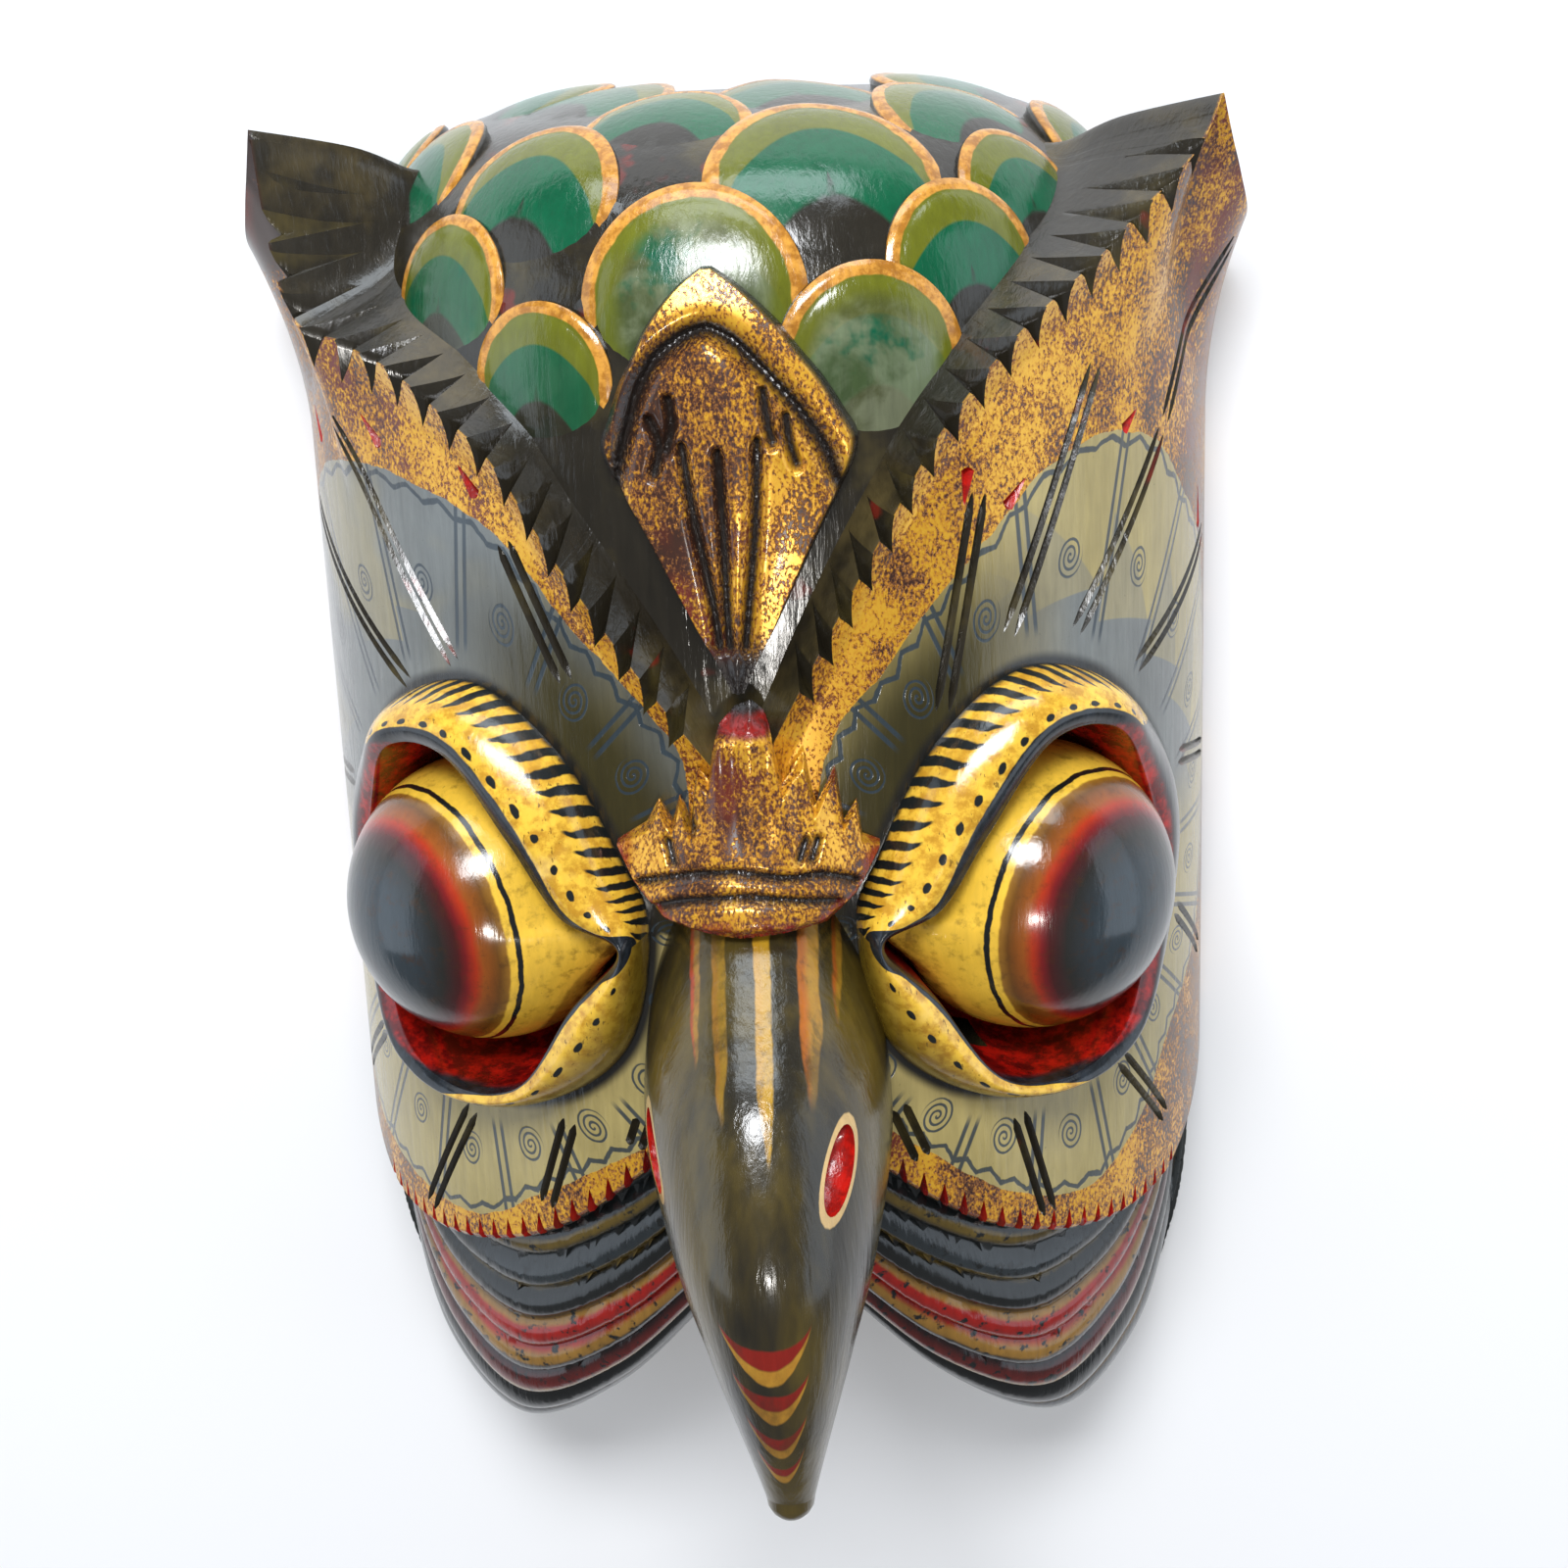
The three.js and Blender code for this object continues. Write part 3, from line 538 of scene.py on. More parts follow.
def gold_leaf_group(settings):
    """Distressed gold leaf: bright flakes over a red-brown ground, worn in specks and patches."""
    if "Worn gold leaf" in bpy.data.node_groups:
        return bpy.data.node_groups["Worn gold leaf"]
    tree, nodes, given, out = group_tree(
        "Worn gold leaf", [("Wear", "value")],
        [("Color", "color"), ("Roughness", "value"), ("Metallic", "value"), ("Height", "value")])
    vector = nodes.place((1, 0.62, 1))
    fine = nodes.noise(vector, 1900, 4, 0.7)
    patch = nodes.noise(vector, 130, 5, 0.62)
    cloud = nodes.noise(vector, 45, 3, 0.5)
    worn = nodes.plus(nodes.times(fine, 0.62), nodes.times(patch, 0.38))
    worn = nodes.plus(worn, nodes.times(given["Wear"], 0.065))
    bright = tuple(min(1, c * k) for c, k in zip(settings.gold, (1.35, 1.75, 3)))
    leaf = nodes.ramp(worn, [
        (0.45, bright), (0.50, settings.gold), (0.53, (0.36, 0.13, 0.012)), (0.56, (0.11, 0.034, 0.008)),
        (0.61, (0.035, 0.014, 0.008))])
    red = nodes.times(nodes.step(cloud, 0.5, 0.62), nodes.step(worn, 0.52, 0.57))
    leaf = nodes.mix(nodes.times(red, 0.7), leaf, (0.16, 0.016, 0.006))
    nodes.feed(out["Color"], leaf)
    bare = nodes.step(worn, 0.5, 0.57)
    nodes.feed(out["Roughness"], nodes.blend(bare, nodes.math("MULTIPLY_ADD", fine, 0.3, 0.12), 0.24))
    nodes.feed(out["Metallic"], nodes.blend(bare, 0.35, 0.0))
    nodes.feed(out["Height"], nodes.minus(1.0, nodes.times(bare, 0.6)))
    return tree


def brush_group():
    """Hand-brushed paint: streaks along the grain and soft mottling."""
    if "Brushed paint" in bpy.data.node_groups:
        return bpy.data.node_groups["Brushed paint"]
    tree, nodes, given, out = group_tree(
        "Brushed paint", [("Color", "color"), ("Depth", "value")],
        [("Color", "color"), ("Roughness", "value"), ("Height", "value")])
    streaks = nodes.noise(nodes.place((1, 0.12, 1)), 700, 4, 0.6, 0.3)
    mottle = nodes.noise(nodes.place(), 60, 4, 0.55)
    specks = nodes.step(nodes.noise(nodes.place(), 1300, 3, 0.6), 0.68, 0.74)
    tone = nodes.plus(nodes.times(streaks, 0.6), nodes.times(mottle, 0.6))
    light = nodes.plus(1.0, nodes.times(nodes.minus(tone, 0.6), given["Depth"]))
    scaled = nodes.add("ShaderNodeVectorMath", {0: given["Color"], "Scale": light}, operation="SCALE")
    nodes.feed(out["Color"], nodes.mix(nodes.times(specks, 0.35), scaled.outputs[0], (0.02, 0.015, 0.008)))
    nodes.feed(out["Roughness"], nodes.math("MULTIPLY_ADD", mottle, 0.3, 0.04))
    nodes.feed(out["Height"], nodes.plus(streaks, nodes.times(mottle, 0.8)))
    return tree


def built_once(paint):
    """Turns a paint function into one that makes its material at the first call and finds it again later."""
    def material(settings):
        name = paint.__name__
        if name not in bpy.data.materials:
            made = bpy.data.materials.new(name)
            made.use_nodes = True
            made.node_tree.nodes.clear()
            paint(Nodes(made.node_tree), settings)
        return bpy.data.materials[name]
    return material


def lacquered(nodes, colour, roughness, height, metallic=0.0, bump=BRUSH_MARK, coat=0.15):
    """Wood under glossy lacquer that keeps the marks of brush or leaf; bump is their depth in metres."""
    relief = nodes.add("ShaderNodeBump", {"Height": height, "Distance": bump, "Strength": 1.0})
    surface = nodes.add("ShaderNodeBsdfPrincipled", {
        "Base Color": colour, "Roughness": roughness, "Metallic": metallic, "Normal": relief.outputs[0],
        "Specular IOR Level": 0.55, "Coat Weight": coat, "Coat Roughness": 0.07, "Coat IOR": 1.5})
    nodes.add("ShaderNodeOutputMaterial", {"Surface": surface.outputs[0]})


def brushed(nodes, colour, depth, bump=BRUSH_MARK):
    """Hand-brushed paint under lacquer; depth is how far the brush marks change its tone."""
    brush = nodes.group(brush_group(), Color=colour, Depth=depth)
    lacquered(nodes, brush["Color"], brush["Roughness"], brush["Height"], bump=bump)


@built_once
def dark_lacquer(nodes, settings):
    vector = nodes.place()
    warm = nodes.step(nodes.noise(vector, 55, 4, 0.6), 0.48, 0.72)
    colour = nodes.mix(warm, settings.lacquer, (0.055, 0.042, 0.014))
    red = nodes.times(nodes.step(nodes.noise(vector, 90, 3, 0.5), 0.62, 0.68), 0.5)
    colour = nodes.mix(red, colour, (0.2, 0.012, 0.006))
    brushed(nodes, colour, 1.2)


@built_once
def bare_wood(nodes, settings):
    grain = nodes.noise(nodes.place((1, 0.06, 1)), 420, 6, 0.6, 0.6)
    gouge = nodes.noise(nodes.place((1, 0.35, 1)), 75, 2, 0.4)
    dark = tuple(c * 0.55 for c in settings.wood)
    colour = nodes.mix(nodes.step(grain, 0.38, 0.66), dark, settings.wood)
    colour = nodes.mix(nodes.times(nodes.step(gouge, 0.5, 0.8), 0.4), colour, dark)
    height = nodes.plus(nodes.times(grain, 0.25), gouge)
    lacquered(nodes, colour, nodes.math("MULTIPLY_ADD", grain, 0.2, 0.55), height, bump=0.0006, coat=0.0)


@built_once
def studio_floor(nodes, settings):
    """Pale matt floor, very slightly uneven."""
    uneven = nodes.times(nodes.noise(nodes.place(), 4, 3), 0.06)
    shade = nodes.mix(uneven, settings.floor, (0.8, 0.8, 0.81))
    surface = nodes.add("ShaderNodeBsdfPrincipled", {"Base Color": shade, "Roughness": 0.9})
    nodes.add("ShaderNodeOutputMaterial", {"Surface": surface.outputs[0]})


@built_once
def scale_paint(nodes, settings):
    """Head scale: gold rim, olive and emerald bands, black root; the near ones are mottled instead."""
    ring, crisp, root = nodes.attribute("ring"), nodes.attribute("crisp"), nodes.attribute("root")
    vector = nodes.place()
    wander = nodes.times(nodes.minus(nodes.noise(vector, 160, 3), 0.5), 0.09)
    ring = nodes.plus(ring, wander)
    aside = nodes.minus(nodes.times(ring, ring), nodes.times(root, root))
    arch = nodes.plus(nodes.math("MULTIPLY_ADD", aside, -0.9, root), wander)
    banded = nodes.mix(nodes.step(arch, 0.10, 0.14), settings.emerald, settings.lacquer)
    banded = nodes.mix(nodes.step(arch, -0.49, -0.45, invert=True), banded, settings.olive)
    clouds = nodes.step(nodes.noise(vector, 70, 5, 0.6, 0.5), 0.42, 0.62)
    murky = nodes.mix(clouds, (0.055, 0.065, 0.02), (0.17, 0.19, 0.11))
    murky = nodes.mix(nodes.step(nodes.noise(vector, 95, 4, 0.6), 0.52, 0.66), murky, (0.0, 0.075, 0.035))
    murky = nodes.mix(nodes.step(ring, 0.55, 0.75), murky, settings.olive)
    inner = nodes.mix(crisp, murky, banded)
    inner = nodes.mix(nodes.step(root, 0.5, 0.85), inner, (0.03, 0.03, 0.022))
    bright = nodes.step(nodes.noise(vector, 420, 5, 0.7), 0.38, 0.62)
    gold = nodes.mix(bright, (0.32, 0.125, 0.012), (0.58, 0.27, 0.04))
    colour = nodes.mix(nodes.step(ring, 0.84, 0.86), inner, gold)
    colour = nodes.mix(nodes.step(ring, 1.0, 1.05), colour, settings.lacquer)
    brushed(nodes, colour, 1.0, bump=0.00012)


@built_once
def plate_paint(nodes, settings):
    """Face plate: dark brow band, worn gold, and an eye disc with rays, scrolls, bands and a zigzag edge."""
    math, step, mix = nodes.math, nodes.step, nodes.mix
    times, plus, minus, most = nodes.times, nodes.plus, nodes.minus, nodes.most
    vector = nodes.place()
    wobble = times(minus(nodes.noise(vector, 240, 3), 0.5), 1.6)
    crest, disc = nodes.attribute("crest"), plus(nodes.attribute("disc"), wobble)
    ray, reach, gap = nodes.attribute("ray"), nodes.attribute("reach"), nodes.attribute("gap")
    low, nose = nodes.attribute("low"), nodes.attribute("nose")

    # Panels between the rays, each with a scroll: place across as a share, then in millimetres
    across = minus(math("FRACT", math("DIVIDE", ray, PANEL)), 0.5)
    arc = times(across, reach, np.radians(PANEL))
    aside = minus(times(reach, np.radians(PANEL / 2)), math("ABSOLUTE", arc))
    out = times(minus(gap, disc), 0.5)
    curl = math("DIVIDE", math("ARCTAN2", out, arc), 2 * np.pi)
    spiral = nodes.distance(math("DIVIDE", arc, 2.5), math("DIVIDE", out, 3.2))
    turns = math("FRACT", plus(times(spiral, 2.6), curl))
    scrolls = times(nodes.line(turns, 0.5, 0.2, 0.06), step(spiral, 1.05, 1.15, invert=True))
    rays = times(nodes.line(aside, 0.9, 0.38), step(gap, 4, 7))
    zigzag = times(math("PINGPONG", times(ray, 0.33), 1.0), 1.5)
    ink = most(scrolls, rays, nodes.line(minus(disc, zigzag), 0.9, 0.48))

    # Ground of the disc: khaki, blue-grey in bands over the eye and, partly as a painted sheen, on the left's
    # upper half; dark beside the beak as painted shade near the lid, and a near-black ring of painted shade in
    # the crease round the lid
    upper = step(math("SINE", math("RADIANS", ray)), -0.1, 0.35)
    near = step(plus(gap, times(across, 6.0)), 11, 11.6, invert=True)
    far = step(plus(gap, times(across, -14.0)), 19, 19.6, invert=True)
    bands = times(most(near, times(far, 0.45)), upper, minus(1.0, nose))
    patches = step(nodes.noise(vector, 38, 3, 0.4), 0.40, 0.56)
    # Blue-grey on the left disc's upper half: partly slate paint, partly a painted sheen
    grey = times(nodes.attribute("cool"), upper, math("MULTIPLY_ADD", patches, 0.4, 0.45))
    ground = mix(most(times(bands, 0.85), grey), settings.khaki, settings.slate)
    # Painted shade: dark olive beside the beak, deepening towards the raised lid
    ground = mix(times(step(gap, 7, 27, invert=True), nose), ground, (0.032, 0.026, 0.006))
    # Painted shade: a near-black ring in the crease at the foot of the lid
    ground = mix(step(gap, 0.6, 2.6, invert=True), ground, (0.012, 0.011, 0.009))
    ground = mix(times(ink, 0.92), ground, (0.022, 0.034, 0.045))

    # Gold outside the disc, red along the lower edge, painted shade under the lower edge, dark lacquer on the
    # band behind the crest
    brush = nodes.group(brush_group(), Color=ground, Depth=1.1)
    leaf = nodes.group(gold_leaf_group(settings), Wear=nodes.attribute("wear"))
    inside = step(disc, 0, 0.15)
    face = mix(inside, leaf["Color"], brush["Color"])
    red_edge = times(step(low, 0.2, 2.4, invert=True), step(nodes.noise(vector, 300, 3), 0.35, 0.6))
    face = mix(times(red_edge, 0.8), face, (0.2, 0.012, 0.005))
    # Painted shade: the underside of the lower edge is near-black
    face = mix(step(low, -1.4, -0.6, invert=True), face, (0.02, 0.012, 0.008))
    warm = step(nodes.noise(vector, 45, 4, 0.6), 0.42, 0.68)
    dark = mix(warm, settings.lacquer, (0.065, 0.048, 0.018))
    dark = nodes.group(brush_group(), Color=dark, Depth=1.6)
    on_band = step(crest, -0.15, 0.05, invert=True)
    colour = mix(on_band, face, dark["Color"])
    gilded = times(minus(1.0, inside), minus(1.0, on_band))
    roughness = nodes.blend(gilded, brush["Roughness"], leaf["Roughness"])
    height = nodes.blend(gilded, plus(brush["Height"], times(ink, -0.2)), leaf["Height"])
    lacquered(nodes, colour, roughness, height, metallic=times(gilded, leaf["Metallic"]), bump=0.00012)


@built_once
def eye_paint(nodes, settings):
    """Eye: yellow lid with lashes and dots, black liner, red trough, and the ringed ball."""
    math, step, mix = nodes.math, nodes.step, nodes.mix
    times, plus, minus, most = nodes.times, nodes.plus, nodes.minus, nodes.most
    lid, turn, gaze = nodes.attribute("lid"), nodes.attribute("turn"), nodes.attribute("gaze")
    vector = nodes.place()
    wobble = minus(nodes.noise(vector, 260, 3), 0.5)
    dapple = nodes.noise(vector, 420, 5, 0.65)

    # Lid: rubbed at its outer edge, and darkened under the eye by painted shade on the lower lid
    rubbed = tuple(c * k for c, k in zip(settings.yellow, (0.62, 0.50, 0.35)))
    yellow = mix(step(dapple, 0.36, 0.60), rubbed, settings.yellow)
    worn = times(step(lid, 0.05, 0.5, invert=True), step(nodes.noise(vector, 130, 4), 0.45, 0.65))
    yellow = mix(times(worn, 0.6), yellow, rubbed)
    yellow = mix(times(step(nodes.noise(vector, 90, 3), 0.55, 0.75), 0.45), yellow, (0.85, 0.62, 0.22))
    flecks = step(nodes.noise(nodes.place((1, 0.3, 1)), 1500, 2), 0.66, 0.70)
    yellow = mix(times(flecks, 0.7), yellow, (0.10, 0.05, 0.008))
    # Painted shade: the lower lid darkens towards its outer edge
    under = times(step(turn, 0.60, 0.74), step(lid, 0.1, 0.85, invert=True))
    yellow = mix(times(under, 0.8), yellow, (0.10, 0.07, 0.008))

    # Lashes on the upper lid, dots along its middle, and painted shade in the crease round it
    lash = math("FRACT", plus(times(turn, 60.0), times(lid, -5.0), times(wobble, 0.4)))
    thick = times(step(lid, 0.08, 0.40, invert=True), 0.27)
    lash = times(nodes.line(lash, 0.5, thick, 0.05), step(turn, 0.36, 0.40, invert=True),
                 step(lid, 0.26, 0.31, invert=True))
    dot_turn = minus(math("FRACT", plus(times(turn, 38.0), times(wobble, 0.5))), 0.5)
    dot = step(nodes.distance(dot_turn, times(minus(lid, 0.55), 3.6)), 0.15, 0.2, invert=True)
    # Painted shade: black in the crease at the lid's outer foot
    crease = step(plus(lid, times(wobble, 0.05)), 0.0, 0.05, invert=True)
    skin = mix(most(lash, dot, crease), yellow, (0.008, 0.010, 0.010))

    # Liner inside an edge that moves over the lid with the turn, then the trough, red with painted shade deep
    # in
    liner = mix(step(dapple, 0.35, 0.7), (0.006, 0.008, 0.010), (0.018, 0.024, 0.032))
    trough = mix(step(nodes.noise(vector, 300, 5, 0.7), 0.4, 0.65), (0.10, 0.003, 0.003), settings.red)
    # Painted shade: the trough is near-black deep in, beside the ball
    trough = mix(step(lid, 2.9, 3.3), trough, (0.012, 0.003, 0.003))
    point = times(step(math("PINGPONG", turn, 0.5), 0.0, 0.045, invert=True), 0.6)
    lower = times(step(turn, 0.5, 0.6), 0.12)
    upper = times(step(turn, 0.06, 0.24), step(turn, 0.5, 0.58, invert=True), 0.16)
    edge = minus(plus(0.78, lower), plus(upper, point))
    outer = times(step(turn, 0.37, 0.43), step(turn, 0.72, 0.80, invert=True))
    edge = nodes.blend(outer, edge, 0.02)
    colour = mix(step(minus(math("MULTIPLY_ADD", wobble, 0.05, lid), edge), 0.0, 0.02), skin, liner)
    behind = times(step(turn, 0.28, 0.38), step(turn, 0.68, 0.78, invert=True))
    colour = mix(step(minus(lid, nodes.blend(behind, 1.12, 0.62)), 0.0, 0.16), colour, trough)

    # Ball: slate pupil, its blue-grey partly a painted reflection, red and amber rings, then yellow with one
    # black line, murky at the back
    looked = plus(gaze, times(wobble, 2.2))
    # The slate blue-grey at the pupil is partly a painted reflection
    iris = nodes.ramp(math("DIVIDE", looked, 100.0), [
        (0.0, (0.030, 0.044, 0.055)), (0.25, (0.026, 0.036, 0.044)), (0.36, (0.018, 0.017, 0.015)),
        (0.425, (0.05, 0.006, 0.006)), (0.455, (0.15, 0.006, 0.007)), (0.49, (0.34, 0.024, 0.004)),
        (0.52, (0.25, 0.062, 0.006)), (0.58, (0.12, 0.045, 0.004)), (0.615, (0.24, 0.11, 0.012)),
        (0.622, settings.yellow), (1.0, settings.yellow)])
    ball = mix(times(step(dapple, 0.5, 0.75), 0.5), iris, (0.05, 0.02, 0.004))
    ball = mix(nodes.line(looked, 66.0, 1.1, 0.25), ball, (0.006, 0.007, 0.007))
    murk = times(step(gaze, 78, 112), step(nodes.noise(vector, 210, 5, 0.7), 0.42, 0.60))
    ball = mix(murk, ball, (0.06, 0.018, 0.004))
    brushed(nodes, mix(math("LESS_THAN", gaze, 150.0), colour, ball), 0.7, bump=0.00007)


@built_once
def beak_paint(nodes, settings):
    """Beak: glossy olive-black with flame stripes at the root, crescents near the tip and red nostrils."""
    math, step, mix = nodes.math, nodes.step, nodes.mix
    times, plus, minus = nodes.times, nodes.plus, nodes.minus
    aside, down, turn = nodes.attribute("aside"), nodes.attribute("down"), nodes.attribute("turn")
    vector, streaked = nodes.place(), nodes.place((1, 0.3, 1))
    wobble = minus(nodes.noise(nodes.place((1, 0.4, 1)), 200, 3), 0.5)
    olive = step(nodes.noise(streaked, 60, 4, 0.6), 0.40, 0.65)
    worn = step(nodes.noise(streaked, 260, 4, 0.65), 0.38, 0.56)
    colour = mix(olive, (0.018, 0.015, 0.009), (0.075, 0.052, 0.009))

    bent = plus(aside, times(down, -0.045), times(wobble, 1.2))
    flame = mix(nodes.noise(vector, 260, 4), (0.20, 0.045, 0.005), (0.46, 0.26, 0.022))
    for middle, half, length, plain, cover in STRIPES:
        taper = times(step(down, length * 0.7, length * 1.1, invert=True), half)
        stripe = times(nodes.line(bent, middle, taper, 0.2), step(down, length - 3, length, invert=True))
        shaded = mix(step(minus(bent, middle), -0.6 * half, 0.2 * half), (0.38, 0.035, 0.008), flame)
        rubbed = times(math("MULTIPLY_ADD", worn, 0.6, 0.4), cover)
        colour = mix(times(stripe, rubbed), colour, mix(plain, shaded, (0.38, 0.215, 0.014)))

    across = math("DIVIDE", minus(turn, CRESCENT_MIDDLE), CRESCENT_REACH)
    bow = nodes.most(minus(1.0, math("POWER", math("ABSOLUTE", across), 2.0)), 0.0)
    smile = math("MULTIPLY_ADD", math("SQRT", bow), -CRESCENT_DIP, CRESCENT_DIP)
    dip = plus(down, smile, times(wobble, 1.4))
    near = times(step(bow, 0.08, 0.3), math("MULTIPLY_ADD", worn, 0.35, 0.65))
    ochre = mix(nodes.noise(vector, 300, 4), (0.26, 0.10, 0.012), (0.46, 0.25, 0.025))
    for y, thick in CRESCENTS:
        below = minus(dip, y - 0.45 * thick)
        red_half, ochre_half = times(bow, 0.6 * thick), times(bow, 0.5 * thick)
        colour = mix(times(nodes.line(below, times(red_half, -1.0), red_half, 0.3), near), colour,
                     (0.20, 0.010, 0.005))
        colour = mix(times(nodes.line(below, ochre_half, ochre_half, 0.3), near), colour, ochre)

    rim = nodes.attribute("nostril")
    colour = mix(nodes.line(rim, 1.13, 0.13, 0.03), colour, (0.50, 0.33, 0.13))
    colour = mix(step(rim, 0.98, 1.02, invert=True), colour, settings.red)
    brushed(nodes, colour, 1.0)


@built_once
def red_paint(nodes, settings):
    """Red of nostrils, low chips and drop-shaped cuts."""
    bright = nodes.step(nodes.noise(nodes.place(), 350, 5, 0.7), 0.4, 0.6)
    colour = nodes.mix(bright, (0.22, 0.006, 0.004), settings.red)
    brushed(nodes, colour, 0.8)


@built_once
def gilt_paint(nodes, settings):
    """Gold leaf rubbed through to red, and to dark brown in the hollow places; on the forehead leaf that dark
    brown is also painted shade along its steep rim and at its lower end.
    """
    hollow, red = nodes.attribute("hollow"), nodes.attribute("red")
    leaf = nodes.group(gold_leaf_group(settings), Wear=nodes.attribute("wear"))
    colour = nodes.mix(hollow, leaf["Color"], (0.014, 0.009, 0.007))
    patch = nodes.step(nodes.noise(nodes.place(), 260, 4), 0.3, 0.6)
    colour = nodes.mix(nodes.times(red, patch), colour, (0.25, 0.008, 0.005))
    metallic = nodes.times(leaf["Metallic"], nodes.minus(1.0, hollow))
    lacquered(nodes, colour, leaf["Roughness"], leaf["Height"], metallic=metallic, bump=0.00018)


@built_once
def lobe_paint(nodes, settings):
    """Chin lobes: dark ridges with olive-gold lines and a red band."""
    row, end = nodes.attribute("row"), nodes.attribute("end")
    vector = nodes.place()
    row = nodes.plus(row, nodes.times(nodes.minus(nodes.noise(vector, 90, 4), 0.5), 0.03))
    black, slate, olive = (0.008, 0.009, 0.009), (0.022, 0.028, 0.032), (0.10, 0.066, 0.012)
    gold, red = (0.23, 0.12, 0.022), (0.25, 0.008, 0.005)
    bands = nodes.ramp(row, [
        (0.0, black), (0.09, slate), (0.11, gold), (0.135, black), (0.225, black), (0.235, gold),
        (0.27, gold), (0.28, (0.12, 0.008, 0.006)), (0.335, black), (0.385, black), (0.395, gold),
        (0.42, gold), (0.435, red), (0.53, red), (0.54, gold), (0.575, black), (0.66, black),
        (0.67, olive), (0.695, olive), (0.705, slate), (0.80, black), (0.825, olive), (0.845, olive),
        (0.855, black), (0.93, slate), (1.0, black)])
    dull = nodes.times(nodes.step(end, 0.45, 0.9), 0.55)
    colour = nodes.mix(dull, bands, (0.05, 0.055, 0.055))
    chipped = nodes.step(nodes.noise(nodes.place((1, 1, 0.4)), 500, 4), 0.56, 0.66)
    colour = nodes.mix(chipped, colour, black)
    brushed(nodes, colour, 1.4)


def barrel(name, material, radius, low, high, power, facets):
    """Squared half barrel round the Y axis, running on below the rim plane."""
    middle, half = (low + high) / 2, (high - low) / 2
    turns = np.pi * np.arange(1, facets) / facets
    radii = radius * np.sin(turns) ** (2 / power)
    ys = middle - half * np.sign(np.cos(turns)) * np.abs(np.cos(turns)) ** (2 / power)
    angles = np.linspace(-90, 90, facets + 1)
    front = on_log(angles[None], ys[:, None], radii[:, None])
    back = front[:, [-1, 0]].copy()
    back[:, :, 2] = -20
    return spindle(name, material, np.concatenate([front, back], axis=1), (0, low, 0), (0, high, 0))


def hollow_cutter(settings):
    radius = mm(settings.log_radius) - PLATE_STEP - WALL
    return barrel("hollow", bare_wood(settings), radius, HOLLOW_CHIN_Y, HEAD_TOP - HOLLOW_TOP_WOOD,
                  HOLLOW_POWER, 60)


def block(name, material, centre, size):
    deselect()
    middle = (np.asarray(centre, float) + (0, SHIFT_Y, 0)) / 1000
    bpy.ops.mesh.primitive_cube_add(size=1, location=middle, scale=np.asarray(size) / 1000)
    bpy.ops.object.transform_apply(location=True, rotation=True, scale=True)
    piece = bpy.context.active_object
    piece.name = name
    piece.data.materials.append(material)
    return piece


def below_rim(settings):
    return block("below_rim", bare_wood(settings), (0, 0, -100), (400, 500, 200))


def below_cheeks(settings):
    deep = 300
    return block("below_cheeks", dark_lacquer(settings), (0, CHEEK_END_Y - deep / 2, 0), (400, deep, 400))


def lid_points(shares, inward, radius):
    """Places round the right lid, from its outer edge (0) to its inner edge (1), at a radius of the log."""
    outer, inner = through(LID_OUTER, shares, True), through(LID_INNER, shares, True)
    line = lerp(outer, inner, inward)
    return on_log(line[:, 0], line[:, 1], radius)


def mirrored(points, side):
    return np.asarray(points, float) * (side, 1, 1)


def socket_cutter(settings, side):
    radius = mm(settings.log_radius)
    shares = np.arange(96) / 96
    inside = (radius - PLATE_STEP - WALL) / 2
    rings = [lid_points(shares, 0.3, r) for r in (inside + 6, radius, radius + mm(settings.lid_rise))]
    back = on_log(EYE_ANGLE, EYE_Y, inside)
    front = on_log(EYE_ANGLE, EYE_Y, radius + 2 * mm(settings.lid_rise))
    return spindle("socket", dark_lacquer(settings), mirrored(rings, side), mirrored(back, side),
                   mirrored(front, side))


def head_meridian(settings):
    """The head's outline from its widest place to the crown, with the run along the wood."""
    turn = np.pi / 2 * (1 + np.arange(481) / 480)
    out = (mm(settings.log_radius) - PLATE_STEP) * np.sin(turn) ** (2 / HEAD_POWER)
    up = HEAD_MIDDLE + (HEAD_TOP - HEAD_MIDDLE) * np.abs(np.cos(turn)) ** (2 / HEAD_POWER)
    run = np.concatenate([[0], np.cumsum(np.hypot(np.diff(out), np.diff(up)))])
    slope_out, slope_up = np.gradient(out, run), np.gradient(up, run)
    return run, out, up, slope_up, -slope_out


